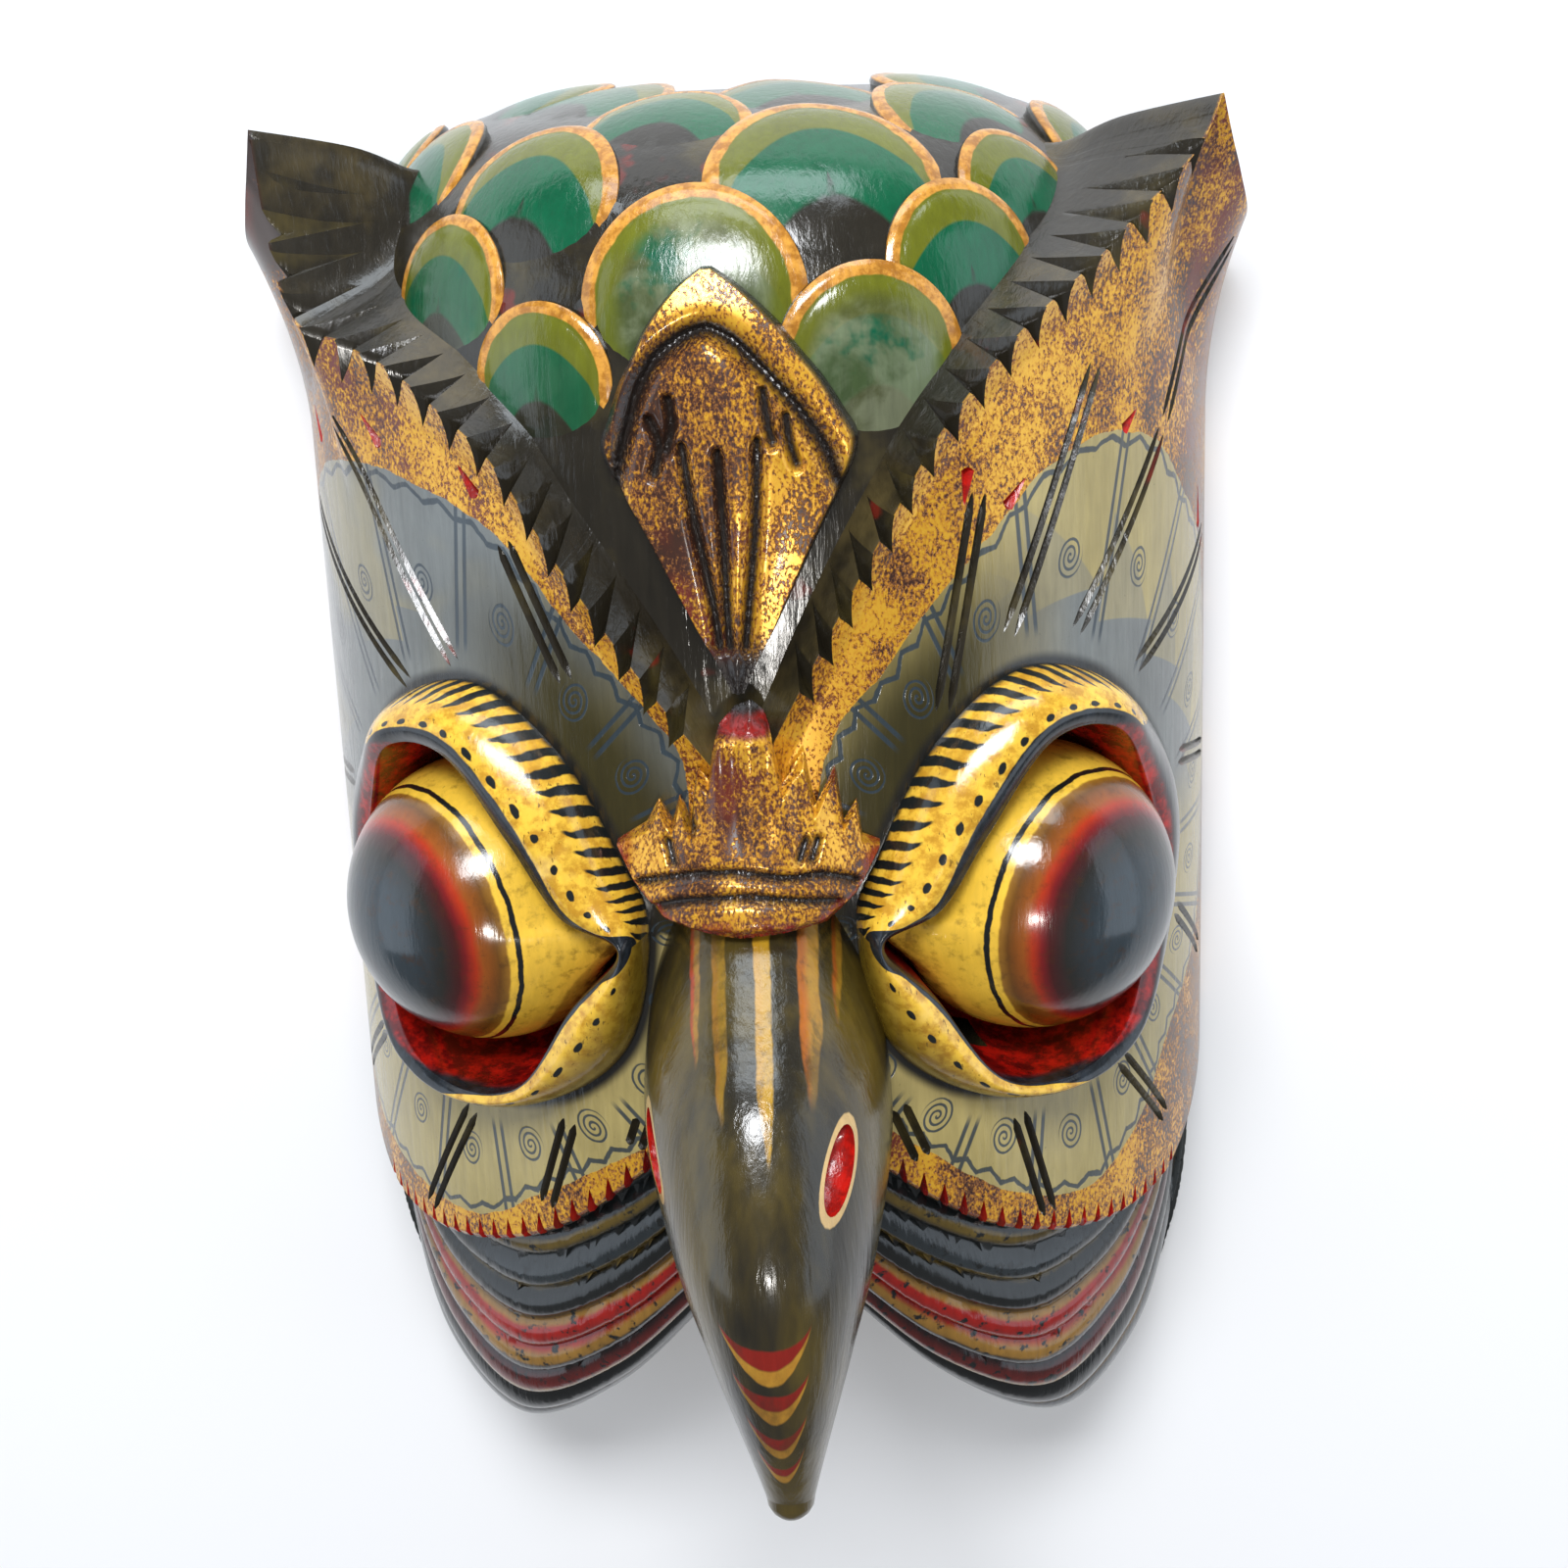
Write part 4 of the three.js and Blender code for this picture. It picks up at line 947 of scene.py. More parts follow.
def scale_body(settings, meridian, turn, top, radius, crisp):
    """One head scale: a round end that stands over a rim, and a root that sinks under the scale before it."""
    run_line, out_line, up_line, normal_out, normal_up = meridian
    around = 72
    angle = 2 * np.pi * np.arange(around + 1) / around
    shares = np.array([0.12, 0.25, 0.38, 0.5, 0.62, 0.72, 0.8, 0.84, 0.9, 0.95, 1.0, 1.02, 1.0, 0.9])
    heights = np.array([1.3, 1.28, 1.2, 1.1, 0.95, 0.8, 0.62, 0.42, 0.5, 0.35, 0.0, -0.8, -2.6, -SKIRT])
    middle = top - radius
    girth = max(24, np.interp(middle, run_line, out_line))
    sine = np.sin(angle)[None]
    rise = radius * shares[:, None] * sine * np.where(sine < 0, SCALE_ROOT, 1)
    aside = np.degrees(radius * shares[:, None] * np.cos(angle)[None] / girth)
    high = heights[:, None] + mm(settings.scale_step) * rise / radius

    def at(run, spin, height):
        r = np.interp(run, run_line, out_line) + height * np.interp(run, run_line, normal_out)
        y = np.interp(run, run_line, up_line) + height * np.interp(run, run_line, normal_up)
        return on_log(spin, y, r)

    rings = at(middle + rise, turn + aside, high)[:, :-1]
    root = -rise / radius / np.where(rise < 0, SCALE_ROOT, 1)
    ring = np.broadcast_to(np.concatenate([shares[:-3], [1.1, 1.2, 1.3]])[:, None], rise.shape)
    values = {"ring": ring, "crisp": np.full(rise.shape, crisp), "root": root}
    return spindle("scale", scale_paint(settings), rings, at(middle, turn, heights[0]),
                   at(middle, turn, -SKIRT), values)


class OWL_OT_head(bpy.types.Operator):
    """Carve the head with its overlapping scales, hollow it and leave the back bare"""
    bl_idname = "owl.head"
    bl_label = "Head with scales"

    def execute(self, context):
        settings = context.scene.owl_mask
        low = 2 * HEAD_MIDDLE - HEAD_TOP
        head = barrel("head", dark_lacquer(settings), mm(settings.log_radius) - PLATE_STEP, low, HEAD_TOP,
                      HEAD_POWER, 96)
        meridian = head_meridian(settings)
        for turn, top, radius, crisp in SCALES:
            combine(head, scale_body(settings, meridian, turn, top, radius, crisp), "UNION")
        cut(head, below_cheeks(settings), hollow_cutter(settings), socket_cutter(settings, -1),
            socket_cutter(settings, 1), below_rim(settings))
        finish_piece(head)
        return {"FINISHED"}


def front_radius(settings, angle, below):
    """Radius of the plate's front, a given height below the crest."""
    ear = smoothstep(angle, 44, EAR_TIP) * (1 - smoothstep(angle, 70, 96))
    flare = mm(settings.ear_flare) * ear
    lip = np.maximum(CREST_RISE, flare) - flare
    t = np.clip(below / 30, 0, 1)
    return mm(settings.log_radius) + flare * (1 - t) ** 1.65 + lip * np.clip(1 - below / 8, 0, 1) ** 1.5


class Plate:
    """Outlines of one half of the face plate."""

    def __init__(self, side):
        self.crest_line, self.inner = outline(CREST[side]), outline(BAND_INNER[side])
        self.back, self.low = outline(EAR_BACK), outline(PLATE_LOW)

    def crest(self, angle):
        return np.where(angle > EAR_TIP, self.back(angle), self.crest_line(angle))

    def slope(self, settings, angle, share):
        """Point on the band, from the crest (0) down to the head (1)."""
        crest, inner, root = self.crest(angle), self.inner(angle), self.root(settings, angle)
        top = front_radius(settings, angle, 0)
        reach = [0, 0.34, 0.7, 1]
        y = [crest, lerp(crest, inner, reach[1]), lerp(crest, inner, reach[2]), inner + 3]
        r = [top, lerp(top, root, 0.55), lerp(mm(settings.log_radius), root, 0.8), root]
        at = through(np.stack([y, r], axis=1), np.interp(share, reach, [0, 1 / 3, 2 / 3, 1]))
        return at[:, 0], at[:, 1]

    def root(self, settings, angle):
        """Radius where the band sinks into the head."""
        return head_radius(settings, np.minimum(self.inner(angle), HEAD_TOP - 8)) - 4


def unrolled(degrees):
    """Length in millimetres of a turn round the log, as drawn."""
    return np.radians(degrees) * DRAWN_RADIUS


def polar(angle, y):
    """Turn in degrees and reach in millimetres round the eye, unrolled; 0 degrees is outwards."""
    x, up = unrolled(angle - EYE_ANGLE), y - EYE_Y
    return np.degrees(np.arctan2(up, x)), np.hypot(x, up)


def reach_of(pairs):
    """Reach of a closed outline round the eye, over the turn."""
    line = through(pairs, np.linspace(0, 1, 721), True)
    turn, reach = polar(line[:, 0], line[:, 1])
    order = np.argsort(turn)
    return lambda t: np.interp((t + 180) % 360 - 180, turn[order], reach[order], period=360)


def plate_rings(settings, side, angles):
    """Rings across half the plate, from its lower edge over the front and down the band, with measures."""
    plate, log = Plate(side), mm(settings.log_radius)
    disc, lid = reach_of(DISC[side]), reach_of(LID_OUTER)
    front_run, band_share = np.linspace(0, 1, 112), np.linspace(0, 1, 27)[1:]
    before, after = 5, len(band_share) + 1
    rings, marks = [], []
    for angle in angles:
        crest, bottom, inner = (float(line(angle)) for line in (plate.crest, plate.low, plate.inner))
        edge_y = bottom + np.array([9, 2, 0.6, 0, 0.5])
        edge_r = log - np.array([WALL + 5, 7, 5, 2.5, 0.9])
        front_y = lerp(bottom + 1.6, crest, front_run)
        front_r = front_radius(settings, angle, crest - front_y)
        band_y, band_r = plate.slope(settings, float(angle), band_share)
        ys = np.concatenate([edge_y, front_y, band_y, [inner - 4]])
        rs = np.concatenate([edge_r, front_r, band_r, [plate.root(settings, angle) - 5]])
        rings.append(on_log(side * angle, ys, rs))
        turn, reach = polar(angle, ys)
        below_crest = np.concatenate([crest - ys[:-after], -np.arange(1, after + 1) / 4])
        above_low = np.concatenate([np.full(before, -2.0), front_y - bottom, np.full(after, 50.0)])
        marks.append(np.stack([below_crest, disc(turn) - reach, turn, reach, reach - lid(turn), above_low]))
    return rings, marks


def plate_body(settings):
    """Face plate before it is cut."""
    angles = np.linspace(0, 95, 160)
    left, left_marks = plate_rings(settings, -1, angles[1:][::-1])
    right, right_marks = plate_rings(settings, 1, angles)
    rings = np.array(left + right)
    marks = np.array(left_marks + right_marks)
    marks = np.concatenate([marks, marks[:, :, :1]], axis=2)
    crest, disc, ray, reach, gap, low = marks.transpose(1, 0, 2)
    y = np.concatenate([rings, rings[:, :1]], axis=1)[:, :, 1]
    cool = np.concatenate([np.ones(len(left)), np.zeros(len(right))])[:, None]
    away = np.concatenate([angles[1:][::-1], angles])[:, None]
    left_ear = 2.5 * smoothstep(y, 83, 90) * cool
    nose = (1 - smoothstep(away, 24, 44)) * smoothstep(ray, 60, 90)
    values = {"crest": crest, "disc": disc, "ray": ray, "reach": reach, "gap": gap, "low": low, "cool": cool,
              "nose": nose, "wear": smoothstep(away, 45, 75) + left_ear}
    return spindle("face_plate", plate_paint(settings), rings, values=values)


def chip(material, a, b, front, back, floor, lift):
    """Chip cut across an edge: a and b on the edge, front and back where its floor runs out."""
    a, b, front, back, floor, lift = (np.asarray(p, float) for p in (a, b, front, back, floor, lift))
    rings = [[lerp(a, end, 0.06) + 0.35 * lift, lerp(b, end, 0.06) + 0.35 * lift, lerp(floor, end, 0.12)]
             for end in (front, back)]
    return spindle("chip", material, rings, front, back)


def groove_cutter(settings, material, start, end, offset, width, taper=1):
    """Three-sided cutter along a line on the plate, to one side of it by the offset, pointed at both ends."""
    side = 1 if start[0] > 0 else -1
    share = np.linspace(0.02, 0.98, 14)
    angle, y = lerp(side * start[0], side * end[0], share), lerp(start[1], end[1], share)
    radius = front_radius(settings, angle, Plate(side).crest(angle) - y)
    along = np.array([unrolled(side * (end[0] - start[0])), end[1] - start[1]])
    across = np.array([-along[1], along[0]]) / np.linalg.norm(along)
    half = width / 2 * np.minimum(1, 2.6 * np.sin(np.pi * share) ** 0.7) * lerp(1, taper, share)
    ring = []
    for aside, height in ((-1.9, 0.9), (1.9, 0.9), (0, -1.35)):
        off = offset + aside * half
        turned = angle + np.degrees(off * across[0] / DRAWN_RADIUS)
        ring.append(on_log(side * turned, y + off * across[1], radius + height * half))
    rings = np.stack(ring, axis=1)
    middle = rings.mean(axis=1)
    return spindle("groove", material, rings, middle[0] - 0.3 * (middle[1] - middle[0]),
                   middle[-1] + 0.3 * (middle[-1] - middle[-2]))


def crest_run(side):
    """Angle and height at a run in millimetres along the crest, and its whole length."""
    line = through(CREST[side], np.linspace(0, 1, 400))
    line = line[line[:, 0] > CREST_START]
    steps = np.hypot(unrolled(np.diff(line[:, 0])), np.diff(line[:, 1]))
    run = np.concatenate([[0], np.cumsum(steps)])
    return lambda s: np.interp(s, run, line[:, 0]), lambda s: np.interp(s, run, line[:, 1]), run[-1]


def join(name, pieces):
    deselect()
    for piece in pieces:
        piece.select_set(True)
    bpy.context.view_layer.objects.active = pieces[0]
    bpy.ops.object.join()
    pieces[0].name = name
    return pieces[0]


def brow_chips(settings, side):
    """Chips across the crest of the brow, which turn to cut across the ear's steep edge."""
    plate, length, dark = Plate(side), mm(settings.tooth_length), dark_lacquer(settings)
    angle_at, y_at, total = crest_run(side)
    pitch = total / CREST_TEETH[side]
    chips = []
    for k in range(CREST_TEETH[side]):
        high, low, middle = ((k + f) * pitch for f in (0.98, 0.04, 0.45))
        a, b, c = angle_at(high), angle_at(low), angle_at(middle)
        ya, yb, yc = y_at(high), y_at(low), y_at(middle)
        steep = smoothstep((ya - yb) / pitch, 0.85, 0.99)
        below, over = lerp(ya - length, yc - 1, steep), lerp(a, c + 3.4, steep)
        band_y, band_r = plate.slope(settings, float(b), np.array([0.42]))
        chips.append(chip(
            dark, on_log(side * a, ya, front_radius(settings, a, 0)),
            on_log(side * b, yb, front_radius(settings, b, 0)),
            on_log(side * over, below, front_radius(settings, over, np.maximum(0, ya - below)) + 0.2),
            on_log(side * b, band_y[0], band_r[0] + 0.4),
            on_log(side * c, yc - 1.2, front_radius(settings, c, 0) - 3.2), on_log(side * c, 0, 4)))
    return chips


def low_chips(settings, side):
    """Chips across the plate's lower edge, side by side."""
    low, log, red = Plate(side).low, mm(settings.log_radius), red_paint(settings)
    chips = []
    for k in range(LOW_TEETH):
        a, b = (LOW_TEETH_START + (k + f) * LOW_TEETH_SPAN / LOW_TEETH for f in (0, 1))
        c = (a + b) / 2
        chips.append(chip(
            red, on_log(side * a, low(a) - 0.6, log + 1), on_log(side * b, low(b) - 0.6, log + 1),
            on_log(side * c, low(c) + 5.2, log + 0.4), on_log(side * c, low(c) - 1, log - 12),
            on_log(side * c, low(c) + 2.4, log - 4.5), (0, -3.5, 2.5)))
    return chips


class OWL_OT_face_plate(bpy.types.Operator):
    """Carve the face plate: brow band and ears with chip-cut teeth, engraved rays and toothed lower edge"""
    bl_idname = "owl.face_plate"
    bl_label = "Face plate"

    def execute(self, context):
        settings = context.scene.owl_mask
        plate = plate_body(settings)
        dark, red, width = dark_lacquer(settings), red_paint(settings), mm(settings.groove_width)
        cut(plate, join("brow_chips", [each for side in (-1, 1) for each in brow_chips(settings, side)]))
        grooves = [groove_cutter(settings, dark, start, end, offset, width)
                   for start, end in GROOVES for offset in (-GROOVE_ASIDE, GROOVE_ASIDE)]
        drops = [groove_cutter(settings, red, start, end, 0, DROP_WIDTH, 0.1) for start, end in DROPS]
        cut(plate, join("grooves", grooves + drops))
        cut(plate, join("low_chips", [each for side in (-1, 1) for each in low_chips(settings, side)]))
        cut(plate, hollow_cutter(settings), socket_cutter(settings, -1), socket_cutter(settings, 1),
            below_rim(settings))
        finish_piece(plate)
        return {"FINISHED"}


def eye_frame(settings):
    """Middle of the right eyeball and its directions ahead, aside and up."""
    spin = np.radians(EYE_TURN)
    return (on_log(EYE_ANGLE, EYE_Y, mm(settings.log_radius) - EYE_DEPTH),
            np.array([np.sin(spin), 0, np.cos(spin)]), np.array([np.cos(spin), 0, -np.sin(spin)]),
            np.array([0, 1, 0]))


def eye_rows(settings, shares):
    """Rings of the right eye from the back of its plug over lid, trough and ball, with their measures."""
    log, radius = mm(settings.log_radius), mm(settings.eye_radius)
    hollow = log - PLATE_STEP - WALL
    inner = through(LID_INNER, shares, True)
    rise = mm(settings.lid_rise) * (1 - 0.5 * smoothstep(inner[:, 0], 42, 53))
    centre, ahead, aside, up = eye_frame(settings)
    rim = lid_points(shares, 1, log) - centre
    turn = np.arctan2(rim @ up, rim @ aside)

    def ball(polar_angle):
        p = np.radians(polar_angle)
        out = radius * np.sin(p)
        point = (centre + aside * (out * np.cos(turn))[:, None] + up * (out * np.sin(turn))[:, None]
                 + ahead * radius * np.cos(p))
        skirt = np.maximum(0, -np.cos(turn)) ** 6 * smoothstep(polar_angle, 40, 95)
        return lerp(point, lid_points(shares, 1.08, log + 1), (0.8 * skirt)[:, None])

    def floor(share, depth):
        return lerp(lid_points(shares, 1.04, log - depth), ball(118), share)

    stations = [
        (-0.5, lid_points(shares, 0.05, (hollow + log) / 2)), (0, lid_points(shares, 0, log)),
        (0.2, lid_points(shares, 0.2, log + rise * 0.62)), (0.6, lid_points(shares, 0.6, log + rise)),
        (0.92, lid_points(shares, 0.92, log + rise * 0.92)), (1.1, lid_points(shares, 1, log + rise * 0.72)),
        (1.6, floor(0.04, 2)), (2, floor(0.35, TROUGH_DEPTH)), (3, floor(0.85, TROUGH_DEPTH)),
    ]
    between_stations = 12
    spots = np.linspace(0, 1, (len(stations) - 1) * between_stations + 1)
    curve = through(np.stack([points for _, points in stations]), spots)
    lid = np.interp(spots, np.linspace(0, 1, len(stations)), [mark for mark, _ in stations])
    polars = np.linspace(112, 2.5, 46)
    look_turn, look_lift = np.radians(GAZE)
    gaze_axis = np.array([np.sin(look_turn) * np.cos(look_lift), np.sin(look_lift),
                          np.cos(look_turn) * np.cos(look_lift)])
    balls = np.stack([ball(p) for p in polars])
    off = (balls - centre) / np.linalg.norm(balls - centre, axis=2, keepdims=True)
    gaze = np.degrees(np.arccos(np.clip(off @ gaze_axis, -1, 1)))
    back = lid_points(shares, 0.6, hollow - EYE_BACKING / 3)
    rings = np.concatenate([back[None], curve, balls])
    lids = np.concatenate([[-1], lid, np.full(len(polars), 4.0)])
    gazes = np.concatenate([np.full((1 + len(curve), len(shares)), OFF_BALL), gaze])
    return rings, lids, gazes, centre + ahead * radius


def eye(settings, side, name):
    around = 192
    turns = np.arange(around + 1) / around
    rings, lids, gazes, front = eye_rows(settings, turns[:-1])
    back = on_log(EYE_ANGLE, EYE_Y, mm(settings.log_radius) - PLATE_STEP - WALL - EYE_BACKING)
    values = {"lid": lids[:, None], "turn": turns[None], "gaze": np.concatenate([gazes, gazes[:, :1]], axis=1)}
    piece = spindle(name, eye_paint(settings), mirrored(rings, side), mirrored(back, side),
                    mirrored(front, side), values)
    cut(piece, slit_cutter(settings, side))
    finish_piece(piece, angle=50)


def slit_cutter(settings, side):
    """Crescent sight slit, below and inside the eyeball."""
    centre, ahead, aside, up = eye_frame(settings)
    radius, long = mm(settings.eye_radius), mm(settings.log_radius)
    arc = np.radians(np.linspace(*SLIT_ARC, 13))
    turns = np.concatenate([arc, arc[::-1]])[:, None]
    reach = radius + np.repeat(SLIT_REACH, len(arc))[:, None]
    flat = reach * (np.cos(turns) * aside + np.sin(turns) * up)
    rings = [centre + flat + ahead * long * share for share in (-0.85, -0.4, 0)]
    return spindle("slit", dark_lacquer(settings), mirrored(rings, side))


class OWL_OT_eyes(bpy.types.Operator):
    """Carve both eyes: raised lid, trough, bulging ball and sight slit"""
    bl_idname = "owl.eyes"
    bl_label = "Eyes"

    def execute(self, context):
        settings = context.scene.owl_mask
        eye(settings, -1, "left_eye")
        eye(settings, 1, "right_eye")
        return {"FINISHED"}


class OWL_OT_beak(bpy.types.Operator):
    """Carve the beak with its nostrils"""
    bl_idname = "owl.beak"
    bl_label = "Beak"

    def execute(self, context):
        settings = context.scene.owl_mask
        rings, tip, values = beak_rings(settings)
        beak = spindle("beak", beak_paint(settings), rings, end=tip, values=values)
        cut(beak, nostril_cutter(settings, -1), nostril_cutter(settings, 1), hollow_cutter(settings))
        finish_piece(beak)
        return {"FINISHED"}


def beak_rings(settings):
    """Rings of the beak from its root to a round tip, with their measures."""
    log, reach = mm(settings.log_radius), mm(settings.beak_reach)
    around, rows = 128, 120
    ridge_y, ridge, foot_y, foot, half = through(BEAK, np.linspace(0, 1, rows)).T

    def middle_line(y, rise):
        return place(BEAK_LEAN * smoothstep(-y, -10, 110), y, log + reach * rise)

    top, low = middle_line(ridge_y, ridge), middle_line(foot_y, foot)
    middle, tall = (top + low) / 2, (top - low) / 2
    turn = 2 * np.pi * np.arange(around + 1) / around
    rings = middle[:, None] + tall[:, None] * np.cos(turn)[None, :, None]
    rings[:, :, 0] += half[:, None] * np.sin(turn)[None]
    tip = place(BEAK_LEAN, BEAK_TIP[0], log + reach * BEAK_TIP[1])
    last = rings[-1].mean(axis=0)
    caps = [lerp(last, tip, share) + (rings[-1] - last) * np.sqrt(1 - share ** 2)
            for share in (0.35, 0.65, 0.85, 0.96)]
    rings = np.concatenate([rings, np.stack(caps)])
    values = {"aside": rings[:, :, 0], "down": -rings[:, :, 1],
              "turn": np.degrees((turn + np.pi) % (2 * np.pi) - np.pi)[None],
              "nostril": np.minimum(nostril_measure(settings, rings, -1), nostril_measure(settings, rings, 1))}
    return rings[:, :-1], tip, values


def nostril_place(settings, side):
    """Directions and middle of a nostril, which lies along the beak's side."""
    x, y, rise, turn = NOSTRIL[side]
    lean = Matrix.Rotation(np.radians(-side * NOSTRIL_LEAN), 3, "Z")
    tilt = Matrix.Rotation(np.radians(NOSTRIL_TILT), 3, "X")
    matrix = Matrix.Rotation(np.radians(side * turn), 3, "Y") @ lean @ tilt
    centre = (x, y, mm(settings.log_radius) + mm(settings.beak_reach) * rise)
    return np.array(matrix), np.array(centre)


def nostril_measure(settings, points, side):
    """1 on the almond's surface, more outside it."""
    matrix, centre = nostril_place(settings, side)
    own = (points - centre) @ matrix
    return np.linalg.norm(own / NOSTRIL_SIZE, axis=-1)


def nostril_cutter(settings, side):
    matrix, centre = nostril_place(settings, side)
    rows, around = 15, 32
    polar_angle = np.pi * np.arange(1, rows + 1) / (rows + 1)
    turn = 2 * np.pi * np.arange(around) / around
    ball = place(np.sin(polar_angle)[:, None] * np.cos(turn)[None], np.cos(polar_angle)[:, None],
                 np.sin(polar_angle)[:, None] * np.sin(turn)[None]) * NOSTRIL_SIZE
    ends = np.array([[0, NOSTRIL_SIZE[1], 0], [0, -NOSTRIL_SIZE[1], 0]])
    return spindle("nostril", red_paint(settings), ball @ matrix.T + centre, *(ends @ matrix.T + centre))


class OWL_OT_brow(bpy.types.Operator):
    """Carve the crown over the beak and the leaf on the forehead"""
    bl_idname = "owl.brow"
    bl_label = "Crown and leaf"

    def execute(self, context):
        settings = context.scene.owl_mask
        crown(settings)
        leaf(settings)
        return {"FINISHED"}


def carved(spots, lines, width):
    """1 on any of the lines through the given points, falling off over the width; lines fade at their ends."""
    share = np.linspace(0, 1, 60)
    ends = np.minimum(1, 3 * np.sin(np.pi * lerp(0.03, 0.97, share)) ** 0.7)
    reach = width * lerp(0.35, 1, ends)
    depths = []
    for line in lines:
        off = np.linalg.norm(spots[:, None] - through(line, share)[None], axis=2)
        depths.append(np.exp(-(off / reach) ** 2).max(axis=1))
    return np.max(depths, axis=0)


def crown(settings):
    """Crown over the beak: pointed top edge, a red knob between the brows, carved lines and a red rim."""
    log, wide = mm(settings.log_radius), 21
    share = np.linspace(0, 1, 72)
    rings, hollows_and_shade, reds = [], [], []
    for x in np.linspace(-wide, wide, 181):
        bottom, top = np.interp(x, *np.array(CROWN_LOW).T), np.interp(x, *np.array(CROWN_TOP).T)
        y = lerp(bottom, top, share)
        grooves = carved(np.stack([np.full(len(y), x), y], axis=1), CROWN_GROOVES, 0.8)
        root = mm(settings.beak_reach) * 0.2 * smoothstep(-y, -14, 16)
        front = log + mm(settings.crown_rise) + root - CROWN_ROUND * (x / wide) ** 2
        fold = 0.4 * np.sin(x * 1.25) * smoothstep(y, -2, 6)
        edges = 2.2 * smoothstep(share, 0.9, 1) + 2 * (1 - smoothstep(share, 0, 0.06))
        knob = 2.2 * smoothstep(y, 16, 18)
        rings.append(np.concatenate([place(x, y, front - 1.6 * grooves + fold - edges - knob),
                                     [[x, lerp(bottom, top, 0.75), log - ROOT_DEPTH],
                                      [x, lerp(bottom, top, 0.25), log - ROOT_DEPTH]]]))
        hollow = np.maximum(np.clip(grooves * 1.5 - 0.25, 0, 1), smoothstep(y, 16.6, 17.4))
        rim = np.maximum(1 - smoothstep(share, 0.03, 0.12), 0.9 * smoothstep(abs(x), 17.5, 20))
        red = np.maximum(rim, smoothstep(y, 16.5, 17.5) * (1 - smoothstep(y, 19.5, 21)))
        hollows_and_shade.append([*hollow, 0, 0, 0])
        reds.append([*red, 0, 0, 0])
    x, y = np.moveaxis(np.array(rings)[:, :, :2], 2, 0)
    worn = 0.8 * np.exp(-((x + 2.5) / 5) ** 2 - ((y - 7) / 7) ** 2)
    worn = np.maximum(worn, 0.6 * (y < -4))
    values = {"hollow": hollows_and_shade, "red": reds, "wear": np.concatenate([worn, worn[:, :1]], axis=1)}
    finish_piece(spindle("crown", gilt_paint(settings), rings, values=values), angle=40)


def leaf(settings):
    """Forehead leaf: a raised border over an arch, with cut lobes and veins under it."""
    log, width = mm(settings.log_radius), outline(LEAF_WIDTH)
    shares = np.linspace(-1, 1, 121)
    arch_line = np.array(LEAF_ARCH)
    peak = int(np.argmax(arch_line[:, 1]))
    rings, hollows_and_shade = [], []
    for y in np.linspace(23, 88, 170):
        base = lerp(log, head_radius(settings, y) + mm(settings.leaf_rise), smoothstep(y, 24, 60))
        x = -0.4 - 2.6 * smoothstep(y, 60, 88) + shares * width(y)
        arch_y = np.where(x < arch_line[peak, 0], np.interp(x, *arch_line[:peak + 1].T),
                          np.interp(x, *arch_line[peak:].T))
        border = 1.2 * smoothstep(y - arch_y, 0, 1.6) * smoothstep(y, 50, 58)
        spots = np.stack([x, np.full(len(x), y)], axis=1)
        cuts = np.maximum(carved(spots, [LEAF_ARCH], 1.8), carved(spots, LEAF_VEINS, 0.95))
        blade = 0.8 * (1 - smoothstep(np.abs(shares), 0, 0.6)) * (1 - smoothstep(y - arch_y, -3, 0))
        rounding = x * x / (2 * log) + 3 * smoothstep(np.abs(shares), 0.94, 1)
        rings.append(np.concatenate([place(x, y, base + border + blade - 2.2 * cuts - rounding),
                                     [[x[-1], y, base - ROOT_DEPTH], [x[0], y, base - ROOT_DEPTH]]]))
        # Painted shade: the leaf's steep rim and its lower end turn dark brown with the carved cuts
        shaded = np.maximum(smoothstep(np.abs(shares), 0.93, 0.98), 1 - smoothstep(y, 27, 34))
        hollows_and_shade.append([*np.clip(np.maximum(cuts * 1.6 - 0.35, shaded), 0, 1), 1, 1, 1])
    x, y = np.moveaxis(np.array(rings)[:, :, :2], 2, 0)
    left, inside = 1 - smoothstep(x, -4, 3), 1 - smoothstep(y, 72, 80)
    middle = np.exp(-((x + 3) / 5) ** 2 - ((y - 70) / 8) ** 2)
    worn = 1.1 * np.maximum(left, middle) * inside
    values = {"hollow": hollows_and_shade, "red": 0, "wear": np.concatenate([worn, worn[:, :1]], axis=1)}
    finish_piece(spindle("forehead_leaf", gilt_paint(settings), rings, values=values), angle=40)


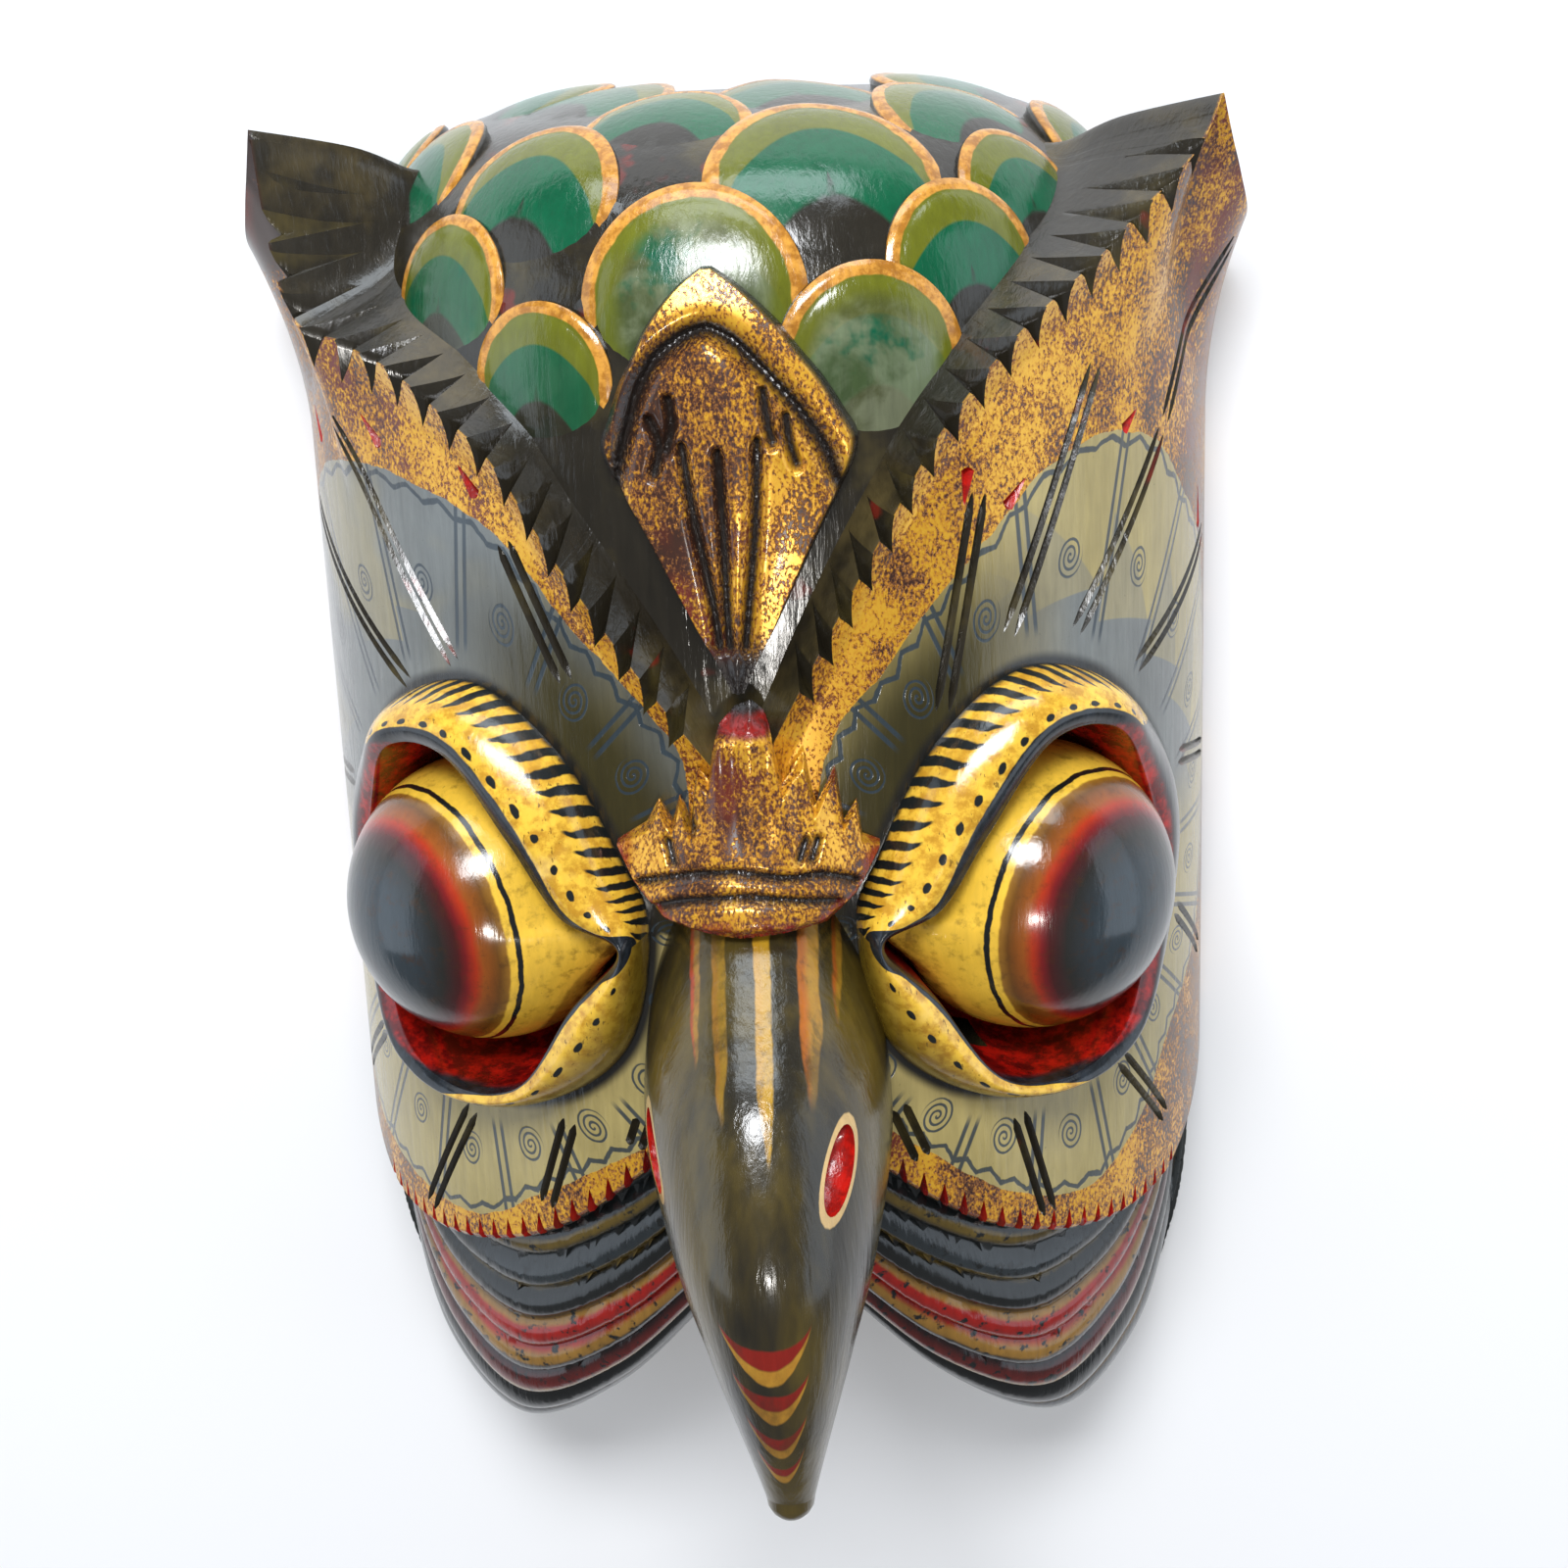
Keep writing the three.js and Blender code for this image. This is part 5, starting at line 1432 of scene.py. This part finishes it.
def lobe(settings, side, name):
    """Chin lobe: its rings rise from the outer edge and round over to the inner one, with ridges along it."""
    head = mm(settings.log_radius) - PLATE_STEP
    stations, rows = 110, 100
    t = np.linspace(0, 1, stations)
    low, high = through(LOBE_LOW, t), through(LOBE_HIGH, t)
    out = (low - high) / np.linalg.norm(low - high, axis=1, keepdims=True)
    fade = (1 - smoothstep(t, 0.84, 0.98))[:, None]
    turn = np.pi / 2 * np.linspace(0, 1, rows)[None]
    inward = 1 - np.cos(turn) ** (2 / LOBE_POWER)
    x, y = lerp(low[:, :1], high[:, :1], inward), lerp(low[:, 1:], high[:, 1:], inward)
    tall = np.sqrt(np.maximum(0, head ** 2 - x ** 2))
    z = np.maximum(LOBE_EDGE + 6 * inward, tall * lerp(0.3, 1, np.sin(turn) ** (2 / LOBE_POWER)))
    row = np.linspace(0, 1, rows)[None]
    groove = np.abs(np.sin(np.pi * inward * LOBE_RIDGES)) ** 0.6 - 1
    sink = mm(settings.ridge_depth) * fade * groove * smoothstep(row, 0, 0.05)
    shift = sink * np.cos(turn)
    body = place(x + out[:, :1] * shift, y + out[:, 1:] * shift, z + sink * np.sin(turn))
    under, above = (place(*edge.T, -6)[:, None] for edge in (low, high))
    rings = np.concatenate([under, body, above], axis=1)
    values = {"row": np.array([0, *inward[0], 1, 0])[None], "end": t[:, None]}
    piece = spindle(name, lobe_paint(settings), mirrored(rings, side), values=values)
    cut(piece, hollow_cutter(settings), below_rim(settings))
    finish_piece(piece, angle=40)


class OWL_OT_lobes(bpy.types.Operator):
    """Carve the two ridged lobes under the chin"""
    bl_idname = "owl.lobes"
    bl_label = "Chin lobes"

    def execute(self, context):
        settings = context.scene.owl_mask
        lobe(settings, -1, "left_lobe")
        lobe(settings, 1, "right_lobe")
        return {"FINISHED"}


class OWL_OT_stage(bpy.types.Operator):
    """Set out the pale floor, the soft lights and the camera"""
    bl_idname = "owl.stage"
    bl_label = "Stage"

    def execute(self, context):
        deselect()
        bpy.ops.mesh.primitive_plane_add(size=8, location=(0, 0, 0))
        floor = context.active_object
        floor.name = "floor"
        floor.data.materials.append(studio_floor(context.scene.owl_mask))
        set_lights(context)
        set_camera(context)
        return {"FINISHED"}


def set_lights(context):
    world = bpy.data.worlds.new("studio")
    world.use_nodes = True
    background = world.node_tree.nodes["Background"]
    background.inputs["Color"].default_value = (0.92, 0.95, 1, 1)
    background.inputs["Strength"].default_value = 0.22
    context.scene.world = world
    context.scene.view_settings.view_transform = "Standard"
    for name, (spot, aim, size, energy, tint) in SOFTBOXES.items():
        deselect()
        bpy.ops.object.light_add(type="AREA", location=spot)
        light = context.active_object
        light.name = name
        light.data.shape = "RECTANGLE"
        light.data.size, light.data.size_y = size
        light.data.energy = energy
        light.data.color = tint
        light.rotation_euler = look_along(np.asarray(aim) - spot).to_euler()


def set_camera(context):
    deselect()
    tilt, yaw, roll = (np.radians(CAMERA[key]) for key in ("tilt", "yaw", "roll"))
    back = np.array([np.sin(yaw) * np.cos(tilt), np.sin(tilt), np.cos(yaw) * np.cos(tilt)])
    right = np.array([np.cos(yaw), 0, -np.sin(yaw)])
    up = np.cross(back, right)
    across = right * np.cos(roll) - up * np.sin(roll)
    over = right * np.sin(roll) + up * np.cos(roll)
    spot = (np.asarray(CAMERA["at"]) + CAMERA["away"] * back + (0, SHIFT_Y, 0)) / 1000
    bpy.ops.object.camera_add()
    camera = context.active_object
    camera.name = "camera"
    camera.matrix_world = Matrix.Translation(spot) @ Matrix((across, over, back)).transposed().to_4x4()
    camera.data.lens = CAMERA["lens"]
    camera.data.sensor_width = 36
    camera.data.clip_start = 0.01
    context.scene.camera = camera


def look_along(direction):
    """Rotation that points an area light's -Z along a direction."""
    back = -direction / np.linalg.norm(direction)
    across = np.cross((0, 0, 1), back)
    across /= np.linalg.norm(across)
    return Matrix((across, np.cross(back, across), back)).transposed()


class OWL_PT_panel(bpy.types.Panel):
    """Sizes, colours and the steps in order"""
    bl_label = "Owl mask"
    bl_idname = "OWL_PT_panel"
    bl_space_type = "VIEW_3D"
    bl_region_type = "UI"
    bl_category = "Owl mask"

    def draw(self, context):
        layout = self.layout
        settings = context.scene.owl_mask
        for name in OwlMaskSettings.__annotations__:
            layout.prop(settings, name)
        for operator in OPERATORS:
            layout.operator(operator.bl_idname)


OPERATORS = (
    OWL_OT_head, OWL_OT_face_plate, OWL_OT_eyes, OWL_OT_beak, OWL_OT_brow, OWL_OT_lobes, OWL_OT_stage)
CLASSES = (OwlMaskSettings, *OPERATORS, OWL_PT_panel)


def register():
    for each in CLASSES:
        bpy.utils.register_class(each)
    bpy.types.Scene.owl_mask = PointerProperty(type=OwlMaskSettings)


def unregister():
    del bpy.types.Scene.owl_mask
    for each in reversed(CLASSES):
        bpy.utils.unregister_class(each)


def main():
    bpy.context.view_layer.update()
    register()
    bpy.ops.owl.head()
    bpy.ops.owl.face_plate()
    bpy.ops.owl.eyes()
    bpy.ops.owl.beak()
    bpy.ops.owl.brow()
    bpy.ops.owl.lobes()
    bpy.ops.owl.stage()
    bpy.context.view_layer.update()


if __name__ == "__main__":
    main()
